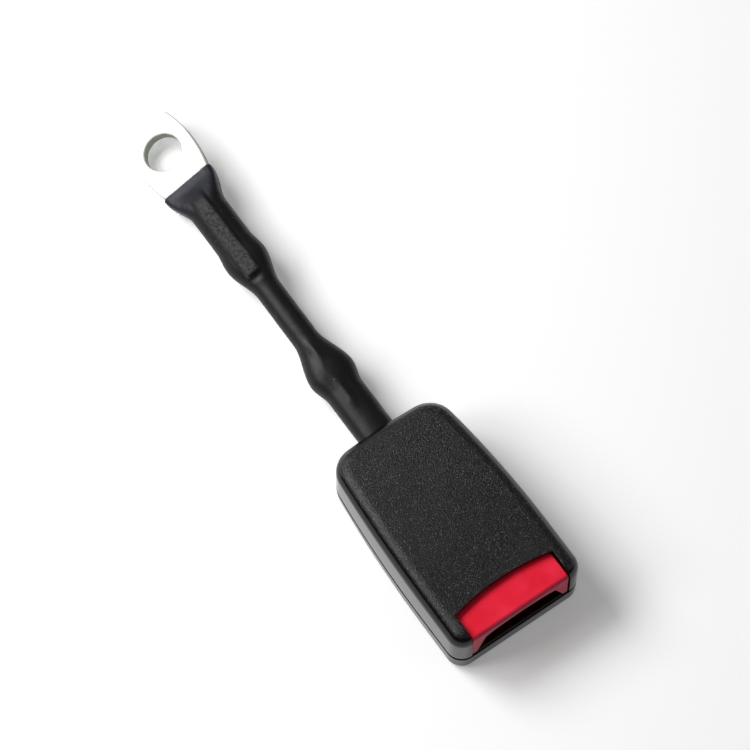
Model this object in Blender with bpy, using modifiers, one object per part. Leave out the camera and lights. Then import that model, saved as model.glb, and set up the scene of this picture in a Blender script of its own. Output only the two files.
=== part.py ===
"""A seat belt buckle on a wire rope stalk, with a bolted anchor plate at the far end.

The long axis is Y: the red button faces -Y and the anchor plate is at +Y. X runs across and
Z is up. The origin is the middle of the footprint, on the surface that the buckle lies on.
Lengths are in metres. A station is a distance behind the front lip of the buckle.
"""

import math

import bmesh
import bpy
from mathutils import Matrix, Vector

# Fits
CLEAR = 0.0003
OVERSHOOT = 0.002

# Plastic shells
BUCKLE_LENGTH = 0.079
BUCKLE_WIDTH = 0.0497
BUCKLE_HEIGHT = 0.025
STRAIGHT_SIDE_LENGTH = 0.020
SIDE_TAPER = 0.0038
REAR_BOW = 0.0009
FRONT_CORNER_RADIUS = 0.0055
REAR_CORNER_RADIUS = 0.0095
SHOULDER_RADIUS = 0.0050
BASE_RADIUS = 0.0030
SIDE_WALL = 0.0022
TOP_WALL = 0.0018
ROOF_LEVEL_LENGTH = 0.020
ROOF_DROP = 0.0050
FLOOR_WALL = 0.0022
PARTING_FRONT_HEIGHT = 0.0090
PARTING_REAR_HEIGHT = 0.0056
SNAP_THICKNESS = 0.0012
SNAP_LENGTH = 0.008
SNAP_DEPTH = 0.003
SNAP_FRONT_STATION = 0.024
SNAP_REAR_STATION = 0.047

# Push button
BUTTON_MARGIN = 0.0061
BUTTON_TOP_DEPTH = 0.0100
BUTTON_TOP_BOW = 0.0022
BUTTON_SETBACK = 0.0003
BUTTON_WALL = 0.0022
BUTTON_EDGE_RADIUS = 0.0004
BUTTON_TRAVEL = 0.006
LEG_TIP_WIDTH = 0.0019
LEG_ROOT_WIDTH = 0.0050
ARCH_SIDE_DROP = 0.0054
ARCH_TOP_DROP = 0.0029
ARM_HEIGHT = 0.008
ARM_ROOF = 0.0006
ARM_MARGIN = 0.0042
BUTTON_SPRING_RADIUS = 0.0016
BUTTON_SPRING_LENGTH = 0.017
BUTTON_SPRING_WIRE = 0.0003
BUTTON_SPRING_TURNS = 6
SPRING_POST_LENGTH = 0.0025
SPRING_POST_WIDTH = 0.005

# Steel frame
FRAME_SHEET = 0.0024
FRAME_SIDE_GAP = 0.00205
FRAME_TOP_GAP = 0.0013
FRAME_STATION = 0.010
FRAME_WALL_LENGTH = 0.050
FRAME_TAIL_WIDTH = 0.024
FRAME_FRONT_HEIGHT = 0.0110
FRAME_STEP_STATION = 0.0265
FRAME_SLOT_MARGIN = 0.0023
PIVOT_ROOF = 0.0011
FRAME_BEND_RADIUS = 0.0012
RIB_WIDTH = 0.002
RIB_SPACING = 0.018

# Latch and lock bar
LATCH_SHEET = 0.0024
LATCH_STATION = 0.0205
LATCH_HALF_WIDTH = 0.0090
LATCH_CORNER_RADIUS = 0.002
NOSE_LENGTH = 0.003
NOSE_HALF_WIDTH = 0.005
NOSE_DEPTH = 0.0032
NOSE_SWING = 0.0014
PIVOT_STATION = 0.052
PIVOT_DROP = 0.0084
PIVOT_RISE = 0.0078
PIN_RADIUS = 0.0022
PIN_HEAD_RADIUS = 0.0034
PIN_HEAD_LENGTH = 0.0007
KNUCKLE_RADIUS = 0.0040
KNUCKLE_GAP = 0.0088
LATCH_SPRING_RADIUS = 0.0030
LATCH_SPRING_WIRE = 0.0004
LATCH_SPRING_TURNS = 4
LATCH_SPRING_LEG = 0.008
LOCK_BAR_RADIUS = 0.0014
LOCK_BAR_STATION = 0.034

# Ejector
EJECTOR_STATION = 0.024
EJECTOR_LENGTH = 0.012
EJECTOR_WIDTH = 0.018
EJECTOR_THICKNESS = 0.0030
EJECTOR_CORNER_RADIUS = 0.001
EJECTOR_TRAVEL = 0.012
KEEL_WIDTH = 0.0044
KEEL_LENGTH = 0.007
EJECTOR_SPRING_RADIUS = 0.0012
EJECTOR_SPRING_LENGTH = 0.0185
EJECTOR_SPRING_WIRE = 0.0003
EJECTOR_SPRING_TURNS = 8
TAB_LENGTH = 0.0018
TAB_WIDTH = 0.0046
TAB_HEIGHT = 0.0034

# Stalk, from the buckle to the anchor plate
BUCKLE_BARREL_LENGTH = 0.0375
ROPE_SPAN = 0.0315
ANCHOR_BARREL_LENGTH = 0.0296
FLATTENING_LENGTH = 0.0128
MOUTH_TO_HOLE = 0.0147
HOLE_TO_END = 0.0131
BARREL_WIDTH = 0.0134
BARREL_HEIGHT = 0.0112
BUCKLE_FLARE_WIDTH = 0.0166
ANCHOR_FLARE_WIDTH = 0.0152
FLARE_HEIGHT = 0.0124
FLARE_INSET = 0.0103
FLARE_LENGTH = 0.008
ANCHOR_FLARE_INSET = 0.0084
ROPE_COVER_DIAMETER = 0.0092
COVER_TAPER = 0.0055
LAND_HEIGHT = 0.0006
LAND_HALF_ANGLE = 20.0
TUBE_WALL = 0.0006
TUBE_TUCK = 0.0018
ROPE_RADIUS = 0.0025
ROPE_GRIP = 0.022
BARREL_FLOOR_GAP = 0.0004
ANCHOR_AXIS_HEIGHT = 0.0084
OVAL_POWER = 2.2
FLAT_POWER = 6.0

# Anchor plate and the eye inside the buckle
PLATE_THICKNESS = 0.0042
PLATE_MIDDLE = 0.0075
PLATE_ROLL = 17.0
PLATE_PITCH = 6.0
PLATE_WIDTH = 0.0221
PLATE_MOUTH_WIDTH = 0.0182
PLATE_END_WIDTH = 0.0176
PLATE_END_BOW = 0.0009
PLATE_CORNER_RADIUS = 0.0020
PLATE_EDGE_RADIUS = 0.0007
HOLE_DIAMETER = 0.0132
EYE_WIDTH = 0.020
EYE_LENGTH = 0.0115
EYE_TAPER = 0.0055
EYE_CORNER_RADIUS = 0.006
RIVET_INSET = 0.0064
RIVET_RADIUS = 0.0033
RIVET_HEAD_RADIUS = 0.0048
RIVET_HEAD_HEIGHT = 0.0019
RIVET_FOOT_HEIGHT = 0.0011
RIVET_CROWN_RADIUS = 0.0029
RIVET_SHOULDER_HEIGHT = 0.0009

# Cover screws
SCREW_GAP = 0.0006
SCREW_STATION = 0.0675
SCREW_RADIUS = 0.0014
SCREW_TIP_RADIUS = 0.0006
SCREW_LENGTH = 0.015
SCREW_HEAD_RADIUS = 0.0024
SCREW_HEAD_HEIGHT = 0.0015
SCREW_HEAD_RECESS = 0.0005
BOSS_RADIUS = 0.0029

# Heights and stations worked out from the sizes above
BUTTON_TOP = BUCKLE_HEIGHT - TOP_WALL - CLEAR
BUTTON_FOOT = PARTING_FRONT_HEIGHT + CLEAR
BUTTON_DEPTH = BUTTON_TOP_DEPTH + BUTTON_TOP_BOW + BUTTON_WALL + CLEAR
BUTTON_WIDTH = BUCKLE_WIDTH - 2 * BUTTON_MARGIN
ARM_INNER = BUTTON_WIDTH / 2 - BUTTON_WALL
ARM_MIDDLE = BUTTON_WIDTH / 2 - BUTTON_WALL / 2
PIVOT_HEIGHT = BUCKLE_HEIGHT - PIVOT_DROP
FRAME_DECK = PIVOT_HEIGHT - PIVOT_RISE
FRAME_BOTTOM = FRAME_DECK - FRAME_SHEET
FRAME_TOP = BUCKLE_HEIGHT - TOP_WALL - FRAME_TOP_GAP
FRAME_WIDTH = 2 * (ARM_INNER - FRAME_SIDE_GAP)
FRAME_INNER = FRAME_WIDTH / 2 - FRAME_SHEET
FRAME_WALL_END = FRAME_STATION + FRAME_WALL_LENGTH
LATCH_TOP = PIVOT_HEIGHT + LATCH_SHEET / 2
LOCK_BAR_HEIGHT = LATCH_TOP + CLEAR + LOCK_BAR_RADIUS
ARM_END = LOCK_BAR_STATION + LOCK_BAR_RADIUS + ARM_MARGIN
ARM_BOTTOM = LOCK_BAR_HEIGHT + LOCK_BAR_RADIUS + CLEAR + ARM_ROOF - ARM_HEIGHT
ARM_TOP = ARM_BOTTOM + ARM_HEIGHT
BUTTON_SPRING_HEIGHT = (ARM_BOTTOM + ARM_TOP) / 2
BUTTON_SPRING_START = ARM_END + CLEAR + BUTTON_SPRING_WIRE
POST_STATION = BUTTON_SPRING_START + BUTTON_SPRING_LENGTH + CLEAR + BUTTON_SPRING_WIRE
EJECTOR_BOTTOM = FRAME_DECK + CLEAR
EJECTOR_END = EJECTOR_STATION + EJECTOR_LENGTH
EJECTOR_SPRING_START = EJECTOR_END + CLEAR + EJECTOR_SPRING_WIRE
TAB_STATION = EJECTOR_SPRING_START + EJECTOR_SPRING_LENGTH + CLEAR + EJECTOR_SPRING_WIRE
EYE_MIDDLE = FRAME_DECK + CLEAR + PLATE_THICKNESS / 2
BUCKLE_AXIS_HEIGHT = FLOOR_WALL + BARREL_FLOOR_GAP + BARREL_HEIGHT / 2
ROPE_START = BUCKLE_LENGTH + BUCKLE_BARREL_LENGTH
ROPE_END = ROPE_START + ROPE_SPAN
FLATTENING_START = ROPE_END + ANCHOR_BARREL_LENGTH
MOUTH_STATION = FLATTENING_START + FLATTENING_LENGTH
HOLE_STATION = MOUTH_STATION + MOUTH_TO_HOLE
TOTAL_LENGTH = HOLE_STATION + HOLE_TO_END
TUBE_START = BUCKLE_LENGTH - SIDE_WALL - TUBE_TUCK
EYE_START = TAB_STATION + TAB_LENGTH + CLEAR
EYE_END = EYE_START + EYE_LENGTH
FRAME_END = EYE_END
RIVET_STATION = EYE_START + RIVET_INSET
SCREW_SPACING = FRAME_TAIL_WIDTH + 2 * (BOSS_RADIUS + SCREW_GAP)
FRONT = -TOTAL_LENGTH / 2

PARTS = "seat_belt_buckle"
CUTTERS = "cutters"
MARK_SIZE = 0.01
SMOOTH_ANGLE = math.radians(38)
RING_POINTS = 24
RING_STEP = 0.0045
ROPE_STEP = 0.004
WELD_DISTANCE = 0.000001
CUT_SNAP = 0.00002
FLAT_ANGLE = 0.002


def clear_scene():
    for obj in list(bpy.data.objects):
        bpy.data.objects.remove(obj, do_unlink=True)
    for name in (PARTS, CUTTERS):
        bpy.context.scene.collection.children.link(bpy.data.collections.new(name))


def look(name, colour, roughness, metallic=0.0):
    material = bpy.data.materials.new(name)
    material.use_nodes = True
    shader = material.node_tree.nodes["Principled BSDF"]
    shader.inputs["Base Color"].default_value = (*colour, 1.0)
    shader.inputs["Roughness"].default_value = roughness
    shader.inputs["Metallic"].default_value = metallic
    return material


def at(x, station, z):
    """World point of a place given by its station behind the front lip."""
    return Vector((x, FRONT + station, z))


def place_mesh(name, mesh):
    obj = bpy.data.objects.new(name, mesh)
    bpy.data.collections[CUTTERS].objects.link(obj)
    obj.hide_render = True
    obj.display_type = "WIRE"
    return obj


def mesh_of_curve(name, curve, merge_flat=False):
    """Makes a mesh object of a curve: caps welded, faces outwards, flat triangles merged."""
    guide = bpy.data.objects.new(name + "_guide", curve)
    bpy.context.scene.collection.objects.link(guide)
    bpy.context.view_layer.update()
    graph = bpy.context.evaluated_depsgraph_get()
    mesh = bpy.data.meshes.new_from_object(guide.evaluated_get(graph))
    bpy.data.objects.remove(guide, do_unlink=True)
    work = bmesh.new()
    work.from_mesh(mesh)
    bmesh.ops.remove_doubles(work, verts=work.verts, dist=WELD_DISTANCE)
    if merge_flat:
        bmesh.ops.dissolve_limit(
            work, angle_limit=FLAT_ANGLE, verts=work.verts, edges=work.edges
        )
    bmesh.ops.recalc_face_normals(work, faces=work.faces)
    work.to_mesh(mesh)
    work.free()
    return place_mesh(name, mesh)


def poly_curve(name, points, cyclic, dimensions):
    curve = bpy.data.curves.new(name, "CURVE")
    curve.dimensions = dimensions
    spline = curve.splines.new("POLY")
    spline.points.add(len(points) - 1)
    for spot, point in zip(spline.points, points):
        spot.co = (*point, 1.0)
    spline.use_cyclic_u = cyclic
    return curve


def slab(name, outline, low, high, plane="XY"):
    """Extrudes a closed outline. The plane names the axes of the outline's two numbers."""
    curve = poly_curve(name, [(a, b, 0.0) for a, b in outline], True, "2D")
    curve.fill_mode = "BOTH"
    curve.extrude = (high - low) / 2
    obj = mesh_of_curve(name, curve, True)
    middle = (low + high) / 2
    if plane == "XY":
        turn = Matrix.Translation(Vector((0, FRONT, middle)))
    elif plane == "XZ":
        turn = Matrix.Translation(Vector((0, FRONT + middle, 0))) @ Matrix.Rotation(math.pi / 2, 4, "X")
    else:
        upright = Matrix.Rotation(math.pi / 2, 4, "Z") @ Matrix.Rotation(math.pi / 2, 4, "X")
        turn = Matrix.Translation(Vector((middle, FRONT, 0))) @ upright
    obj.data.transform(turn)
    return obj


def box(name, x_range, stations, z_range):
    low = at(x_range[0], stations[0], z_range[0])
    high = at(x_range[1], stations[1], z_range[1])
    work = bmesh.new()
    bmesh.ops.create_cube(work, size=1.0)
    size = Matrix.Diagonal((*(high - low), 1.0))
    bmesh.ops.transform(work, matrix=Matrix.Translation((low + high) / 2) @ size, verts=work.verts)
    mesh = bpy.data.meshes.new(name)
    work.to_mesh(mesh)
    work.free()
    return place_mesh(name, mesh)


def cylinder(name, radius, start, end, sides=24):
    """A round bar between two world points."""
    start = Vector(start)
    span = Vector(end) - start
    work = bmesh.new()
    bmesh.ops.create_cone(
        work, cap_ends=True, segments=sides, radius1=radius, radius2=radius, depth=span.length
    )
    turn = Vector((0, 0, 1)).rotation_difference(span).to_matrix().to_4x4()
    bmesh.ops.transform(work, matrix=Matrix.Translation(start + span / 2) @ turn, verts=work.verts)
    mesh = bpy.data.meshes.new(name)
    work.to_mesh(mesh)
    work.free()
    return place_mesh(name, mesh)


def turned(name, profile, place, steps=24):
    """Turns a profile of radius and height, listed from the top down, about the Z axis."""
    mesh = bpy.data.meshes.new(name)
    edges = [(i, i + 1) for i in range(len(profile) - 1)]
    mesh.from_pydata([(radius, 0.0, height) for radius, height in profile], edges, [])
    obj = place_mesh(name, mesh)
    obj.location = place
    screw = obj.modifiers.new("turn", "SCREW")
    screw.steps = steps
    screw.render_steps = steps
    screw.use_merge_vertices = True
    screw.merge_threshold = 0.00001
    return obj


def wire(name, points, radius, resolution):
    """A round wire or rope along world points."""
    curve = poly_curve(name, points, False, "3D")
    curve.bevel_depth = radius
    curve.bevel_resolution = resolution
    curve.use_fill_caps = True
    return mesh_of_curve(name, curve)


def round_edges(obj, radius, segments, angle=60.0):
    bevel = obj.modifiers.new("round_edges", "BEVEL")
    bevel.width = radius
    bevel.segments = segments
    bevel.limit_method = "ANGLE"
    bevel.angle_limit = math.radians(angle)
    bevel.use_clamp_overlap = False


def combine(obj, other, operation):
    modifier = obj.modifiers.new(other.name, "BOOLEAN")
    modifier.operation = operation
    modifier.solver = "EXACT"
    modifier.object = other


def cut(obj, *tools):
    for tool in tools:
        combine(obj, tool, "DIFFERENCE")


def join(obj, *pieces):
    for piece in pieces:
        combine(obj, piece, "UNION")


def keep(obj, material, parent=None):
    """Makes the object a part: out of the cutters, with its material and smooth shading."""
    bpy.data.collections[CUTTERS].objects.unlink(obj)
    bpy.data.collections[PARTS].objects.link(obj)
    obj.hide_render = False
    obj.display_type = "TEXTURED"
    obj.data.materials.clear()
    obj.data.materials.append(material)
    obj.data.shade_smooth()
    obj.data.set_sharp_from_angle(angle=SMOOTH_ANGLE)
    if parent is not None:
        obj.parent = parent
        obj.matrix_parent_inverse = parent.matrix_world.inverted()
    return obj


def axis_empty(name, place):
    """An empty on a joint's axis, which the pieces that move with it hang on."""
    empty = bpy.data.objects.new(name, None)
    empty.location = place
    empty.empty_display_size = MARK_SIZE
    bpy.data.collections[PARTS].objects.link(empty)
    bpy.context.view_layer.update()
    return empty


def fillet(corners, segments=6):
    """Outline through the corners (x, y, radius), each rounded where its radius isn't zero."""
    outline = []
    for i, (x, y, radius) in enumerate(corners):
        here = Vector((x, y))
        if radius <= 0:
            outline.append((x, y))
            continue
        before = (Vector(corners[i - 1][:2]) - here).normalized()
        after = (Vector(corners[(i + 1) % len(corners)][:2]) - here).normalized()
        half = before.angle(after) / 2
        centre = here + (before + after).normalized() * radius / math.sin(half)
        start = here + before * radius / math.tan(half) - centre
        end = here + after * radius / math.tan(half) - centre
        sweep = start.angle_signed(end)
        for step in range(segments + 1):
            angle = -sweep * step / segments
            outline.append(tuple(centre + Matrix.Rotation(angle, 2) @ start))
    return outline


def inset(outline, distance):
    """Moves a closed outline, drawn anticlockwise, inwards by a distance."""
    moved = []
    for i, point in enumerate(outline):
        here = Vector(point)
        before = (here - Vector(outline[i - 1])).normalized()
        after = (Vector(outline[(i + 1) % len(outline)]) - here).normalized()
        inwards = Vector((-before.y - after.y, before.x + after.x)).normalized()
        half = math.cos(before.angle(after) / 2)
        moved.append(tuple(here + inwards * distance / half))
    return moved


def half_width(station):
    """Half the width of the shells: straight sides in front, then drawn in on a shallow arc."""
    past = max(0.0, station - STRAIGHT_SIDE_LENGTH) / (BUCKLE_LENGTH - STRAIGHT_SIDE_LENGTH)
    return BUCKLE_WIDTH / 2 - SIDE_TAPER * past**2


def parting(station):
    """Height of the joint between the shells, which falls from the front to the rear."""
    share = station / BUCKLE_LENGTH
    return PARTING_FRONT_HEIGHT + (PARTING_REAR_HEIGHT - PARTING_FRONT_HEIGHT) * share


def parting_tool(name, far_height, lift):
    """Everything between the joint of the shells, lifted a little, and a far height."""
    start = -OVERSHOOT
    end = BUCKLE_LENGTH + OVERSHOOT
    near = [(start, parting(start) + lift), (end, parting(end) + lift)]
    outline = [*near, (end, far_height), (start, far_height)]
    return slab(name, outline, -BUCKLE_WIDTH, BUCKLE_WIDTH, "YZ")


def side_stations():
    """Stations of the drawn in sides, from the end of the straight part to the rear corner."""
    steps = 7
    span = BUCKLE_LENGTH - REAR_CORNER_RADIUS - 2 * CLEAR - STRAIGHT_SIDE_LENGTH
    return [STRAIGHT_SIDE_LENGTH + span * step / steps for step in range(steps + 1)]


def shell_outline():
    """Plan of the closed shells, anticlockwise from the front left corner."""
    side = [(half_width(station), station, 0.0) for station in side_stations()]
    rear = half_width(BUCKLE_LENGTH)
    right = [(BUCKLE_WIDTH / 2, 0.0, FRONT_CORNER_RADIUS), *side]
    right.append((rear, BUCKLE_LENGTH - REAR_BOW, REAR_CORNER_RADIUS))
    left = [(-x, station, radius) for x, station, radius in reversed(right)]
    return fillet([*right, (0.0, BUCKLE_LENGTH, 0.0), *left])


def roof_share(station):
    """Height of the roof as a share of the full height: level in front, then bowed down."""
    past = max(0.0, station - ROOF_LEVEL_LENGTH) / (BUCKLE_LENGTH - ROOF_LEVEL_LENGTH)
    return 1 - ROOF_DROP / BUCKLE_HEIGHT * past**2


def bow_roof(obj):
    """Cuts a rounded slab across along its sides and brings its upper half down to the bow."""
    bpy.context.view_layer.update()
    graph = bpy.context.evaluated_depsgraph_get()
    mesh = bpy.data.meshes.new_from_object(obj.evaluated_get(graph))
    work = bmesh.new()
    work.from_mesh(mesh)
    for station in side_stations():
        geometry = [*work.verts, *work.edges, *work.faces]
        bmesh.ops.bisect_plane(
            work, geom=geometry, dist=CUT_SNAP, plane_co=at(0.0, station, 0.0), plane_no=(0, 1, 0)
        )
    for vert in work.verts:
        if vert.co.z > 0:
            vert.co.z *= roof_share(vert.co.y - FRONT)
    bmesh.ops.triangulate(work, faces=work.faces)
    work.to_mesh(mesh)
    work.free()
    obj.modifiers.clear()
    obj.data = mesh


def stepped(stations, place):
    """Eases from one (station, value) to the next, level at each of them."""
    if place <= stations[0][0]:
        return stations[0][1]
    for (start, first), (end, second) in zip(stations, stations[1:]):
        if place <= end:
            share = (place - start) / (end - start)
            return first + (second - first) * share * share * (3 - 2 * share)
    return stations[-1][1]


def stalk_profile(rope, barrel, buckle_flare, anchor_flare, eye, mouth):
    """A size of the sleeve along the stalk, from the eye inside the buckle to the mouth."""
    buckle_peak = ROPE_START - FLARE_INSET
    anchor_peak = ROPE_END + ANCHOR_FLARE_INSET
    return [
        (EYE_END, eye),
        (EYE_END + EYE_TAPER, barrel),
        (buckle_peak - FLARE_LENGTH, barrel),
        (buckle_peak, buckle_flare),
        (ROPE_START + COVER_TAPER, rope),
        (ROPE_END - COVER_TAPER, rope),
        (anchor_peak, anchor_flare),
        (anchor_peak + FLARE_LENGTH, barrel),
        (FLATTENING_START, barrel),
        (MOUTH_STATION, mouth),
    ]


SLEEVE = TUBE_WALL + CLEAR
WIDTHS = stalk_profile(
    ROPE_COVER_DIAMETER,
    BARREL_WIDTH,
    BUCKLE_FLARE_WIDTH,
    ANCHOR_FLARE_WIDTH,
    EYE_WIDTH + 2 * SLEEVE,
    PLATE_MOUTH_WIDTH + 2 * SLEEVE,
)
HEIGHTS = stalk_profile(
    ROPE_COVER_DIAMETER,
    BARREL_HEIGHT,
    FLARE_HEIGHT,
    FLARE_HEIGHT,
    PLATE_THICKNESS + 2 * SLEEVE,
    PLATE_THICKNESS + 2 * SLEEVE,
)
POWERS = stalk_profile(2.0, OVAL_POWER, OVAL_POWER, OVAL_POWER, FLAT_POWER, FLAT_POWER)
LANDS = stalk_profile(0.0, LAND_HEIGHT, LAND_HEIGHT, LAND_HEIGHT, 0.0, 0.0)
AXIS_HEIGHTS = [
    (EYE_END, EYE_MIDDLE),
    (EYE_END + EYE_TAPER, BUCKLE_AXIS_HEIGHT),
    (ROPE_START, BUCKLE_AXIS_HEIGHT),
    (ROPE_END, ANCHOR_AXIS_HEIGHT),
    (FLATTENING_START, ANCHOR_AXIS_HEIGHT),
    (MOUTH_STATION, PLATE_MIDDLE),
]
ROLLS = [(ROPE_START, 0.0), (ROPE_END, PLATE_ROLL)]
PITCHES = [(FLATTENING_START, 0.0), (MOUTH_STATION, PLATE_PITCH)]


def stalk_pose(station):
    """Place and turn of the stalk's section at a station: the rope lets the far end roll."""
    pitch = Matrix.Rotation(-math.radians(stepped(PITCHES, station)), 4, "X")
    roll = Matrix.Rotation(-math.radians(stepped(ROLLS, station)), 4, "Y")
    return Matrix.Translation(at(0.0, station, stepped(AXIS_HEIGHTS, station))) @ pitch @ roll


def lay_in_plate(obj):
    """Moves what is modelled level about a height of zero into the pose of the plate."""
    level = Matrix.Translation(-at(0.0, MOUTH_STATION, 0.0))
    obj.data.transform(stalk_pose(MOUTH_STATION) @ level)


def sleeve_ring(station, depth):
    """Points of the sleeve's section at a station, at a depth below its outer face."""
    width = stepped(WIDTHS, station) / 2 - depth
    height = stepped(HEIGHTS, station) / 2 - depth
    power = 2 / stepped(POWERS, station)
    land = stepped(LANDS, station)
    pose = stalk_pose(station)
    ring = []
    for i in range(RING_POINTS):
        angle = 2 * math.pi * i / RING_POINTS
        across = math.cos(angle)
        up = math.sin(angle)
        x = width * math.copysign(abs(across) ** power, across)
        z = height * math.copysign(abs(up) ** power, up)
        if abs(math.degrees(angle) - 90) < LAND_HALF_ANGLE:
            z += land
        ring.append(pose @ Vector((x, 0.0, z)))
    return ring


def stalk_stations(start, end):
    """Stations from start to end that include every change of the profile between them."""
    marks = [start, *(s for s, _ in WIDTHS if start < s < end), end]
    stations = []
    for first, second in zip(marks, marks[1:]):
        count = max(1, round((second - first) / RING_STEP))
        stations += [first + (second - first) * i / count for i in range(count)]
    return [*stations, end]


def loft(name, rings, inner_rings=None):
    """A skin over unlike rings, capped at both ends, or open through its inner rings."""
    work = bmesh.new()

    def skin(loops, outwards):
        made = [[work.verts.new(point) for point in loop] for loop in loops]
        for first, second in zip(made, made[1:]):
            for i in range(len(first)):
                j = (i + 1) % len(first)
                corners = [first[i], first[j], second[j], second[i]]
                work.faces.new(corners if outwards else corners[::-1])
        return made

    outer = skin(rings, True)
    if inner_rings is None:
        work.faces.new(outer[0])
        work.faces.new(outer[-1][::-1])
    else:
        inner = skin(inner_rings, False)
        for outside, inside in ((outer[0], inner[0]), (outer[-1], inner[-1])):
            for i in range(len(outside)):
                j = (i + 1) % len(outside)
                work.faces.new([outside[i], outside[j], inside[j], inside[i]])
    bmesh.ops.recalc_face_normals(work, faces=work.faces)
    mesh = bpy.data.meshes.new(name)
    work.to_mesh(mesh)
    work.free()
    return place_mesh(name, mesh)


def rope_line(start, end):
    count = round((end - start) / ROPE_STEP)
    stations = [start + (end - start) * i / count for i in range(count + 1)]
    return [at(0.0, station, stepped(AXIS_HEIGHTS, station)) for station in stations]


def button_window(name):
    """The opening for the button: through the front wall, and back to a bowed edge on top."""
    half = BUTTON_WIDTH / 2 + CLEAR
    back = BUTTON_TOP_DEPTH
    edge = []
    steps = 12
    for step in range(steps + 1):
        x = half - 2 * half * step / steps
        edge.append((x, back + BUTTON_TOP_BOW * (1 - (x / half) ** 2)))
    outline = [(-half, -OVERSHOOT), (half, -OVERSHOOT), *edge]
    return slab(name, outline, PARTING_FRONT_HEIGHT, BUCKLE_HEIGHT + OVERSHOOT)


def stalk_hole(name):
    """The round mouth in the rear wall that the sleeved stalk comes out of."""
    stations = (BUCKLE_LENGTH - SIDE_WALL - OVERSHOOT, BUCKLE_LENGTH + OVERSHOOT)
    return loft(name, [sleeve_ring(station, -CLEAR) for station in stations])


def screw_places():
    return [(side * SCREW_SPACING / 2, SCREW_STATION) for side in (-1, 1)]


def upper_cover(material):
    outline = shell_outline()
    cover = slab("upper_cover", outline, -BUCKLE_HEIGHT, BUCKLE_HEIGHT)
    round_edges(cover, SHOULDER_RADIUS, 5)
    bow_roof(cover)
    below = parting_tool("below_parting", -2 * BUCKLE_HEIGHT, CLEAR)
    ceiling = BUCKLE_HEIGHT - TOP_WALL
    cavity = slab("upper_cavity", inset(outline, SIDE_WALL), -BUCKLE_HEIGHT, ceiling)
    round_edges(cavity, max(SHOULDER_RADIUS - SIDE_WALL, CLEAR), 3)
    bow_roof(cavity)
    cut(cover, cavity, below)
    for number, (x, station) in enumerate(screw_places()):
        foot = at(x, station, parting(station - BOSS_RADIUS) + CLEAR)
        inside = ceiling * roof_share(station - BOSS_RADIUS)
        outside = BUCKLE_HEIGHT * roof_share(station + BOSS_RADIUS)
        head = at(x, station, (inside + outside) / 2)
        boss = cylinder(f"upper_boss_{number}", BOSS_RADIUS, foot, head)
        join(cover, boss)
        top = SCREW_HEAD_RECESS + SCREW_HEAD_HEIGHT + SCREW_LENGTH + CLEAR
        pilot = cylinder(
            f"pilot_{number}", SCREW_RADIUS + CLEAR, at(x, station, 0.0), at(x, station, top)
        )
        cut(cover, pilot)
    for number, station in enumerate((SNAP_FRONT_STATION, SNAP_REAR_STATION)):
        for side in (-1, 1):
            wall = half_width(station + SNAP_LENGTH / 2) - SIDE_WALL
            face = half_width(station + SNAP_LENGTH) - SIDE_WALL - CLEAR
            joint = parting(station) + 2 * CLEAR
            outline = [
                (side * (face - SNAP_THICKNESS), joint - SNAP_DEPTH),
                (side * face, joint - SNAP_DEPTH),
                (side * face, joint),
                (side * (wall + SIDE_WALL / 2), joint),
                (side * (wall + SIDE_WALL / 2), joint + SNAP_DEPTH),
                (side * (face - SNAP_THICKNESS), joint + SNAP_DEPTH),
            ]
            ends = (station, station + SNAP_LENGTH)
            snap = slab(f"snap_{number}_{side}", outline, ends[0], ends[1], "XZ")
            join(cover, snap)
    cut(cover, button_window("button_window"), stalk_hole("stalk_hole_above"))
    return keep(cover, material)


def lower_cover(material):
    outline = shell_outline()
    roof = 2 * BUCKLE_HEIGHT
    cover = slab("lower_cover", outline, 0.0, roof)
    round_edges(cover, BASE_RADIUS, 5)
    above = parting_tool("above_parting", 2 * roof, 0.0)
    cavity = slab("lower_cavity", inset(outline, SIDE_WALL), FLOOR_WALL, roof)
    round_edges(cavity, max(BASE_RADIUS - SIDE_WALL, CLEAR), 3)
    cut(cover, above, cavity)
    for side in (-1, 1):
        middle = side * RIB_SPACING / 2
        rib = box(
            f"frame_rib_{side}",
            (middle - RIB_WIDTH / 2, middle + RIB_WIDTH / 2),
            (FRAME_STATION + OVERSHOOT, FRAME_WALL_END),
            (FLOOR_WALL / 2, FRAME_BOTTOM - CLEAR),
        )
        post = box(
            f"spring_post_{side}",
            (side * ARM_MIDDLE - SPRING_POST_WIDTH / 2, side * ARM_MIDDLE + SPRING_POST_WIDTH / 2),
            (POST_STATION, POST_STATION + SPRING_POST_LENGTH),
            (FLOOR_WALL / 2, BUTTON_SPRING_HEIGHT + BUTTON_SPRING_RADIUS),
        )
        join(cover, rib, post)
    for number, (x, station) in enumerate(screw_places()):
        boss = cylinder(
            f"lower_boss_{number}",
            BOSS_RADIUS,
            at(x, station, FLOOR_WALL / 2),
            at(x, station, parting(station + BOSS_RADIUS)),
        )
        seat = SCREW_HEAD_RECESS + SCREW_HEAD_HEIGHT + CLEAR
        recess = cylinder(
            f"screw_recess_{number}",
            SCREW_HEAD_RADIUS + CLEAR,
            at(x, station, -OVERSHOOT),
            at(x, station, seat),
        )
        bore = cylinder(
            f"screw_bore_{number}",
            SCREW_RADIUS + CLEAR,
            at(x, station, -OVERSHOOT),
            at(x, station, PARTING_FRONT_HEIGHT + OVERSHOOT),
        )
        join(cover, boss)
        cut(cover, recess, bore)
    cut(cover, stalk_hole("stalk_hole_below"))
    return keep(cover, material)


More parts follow.
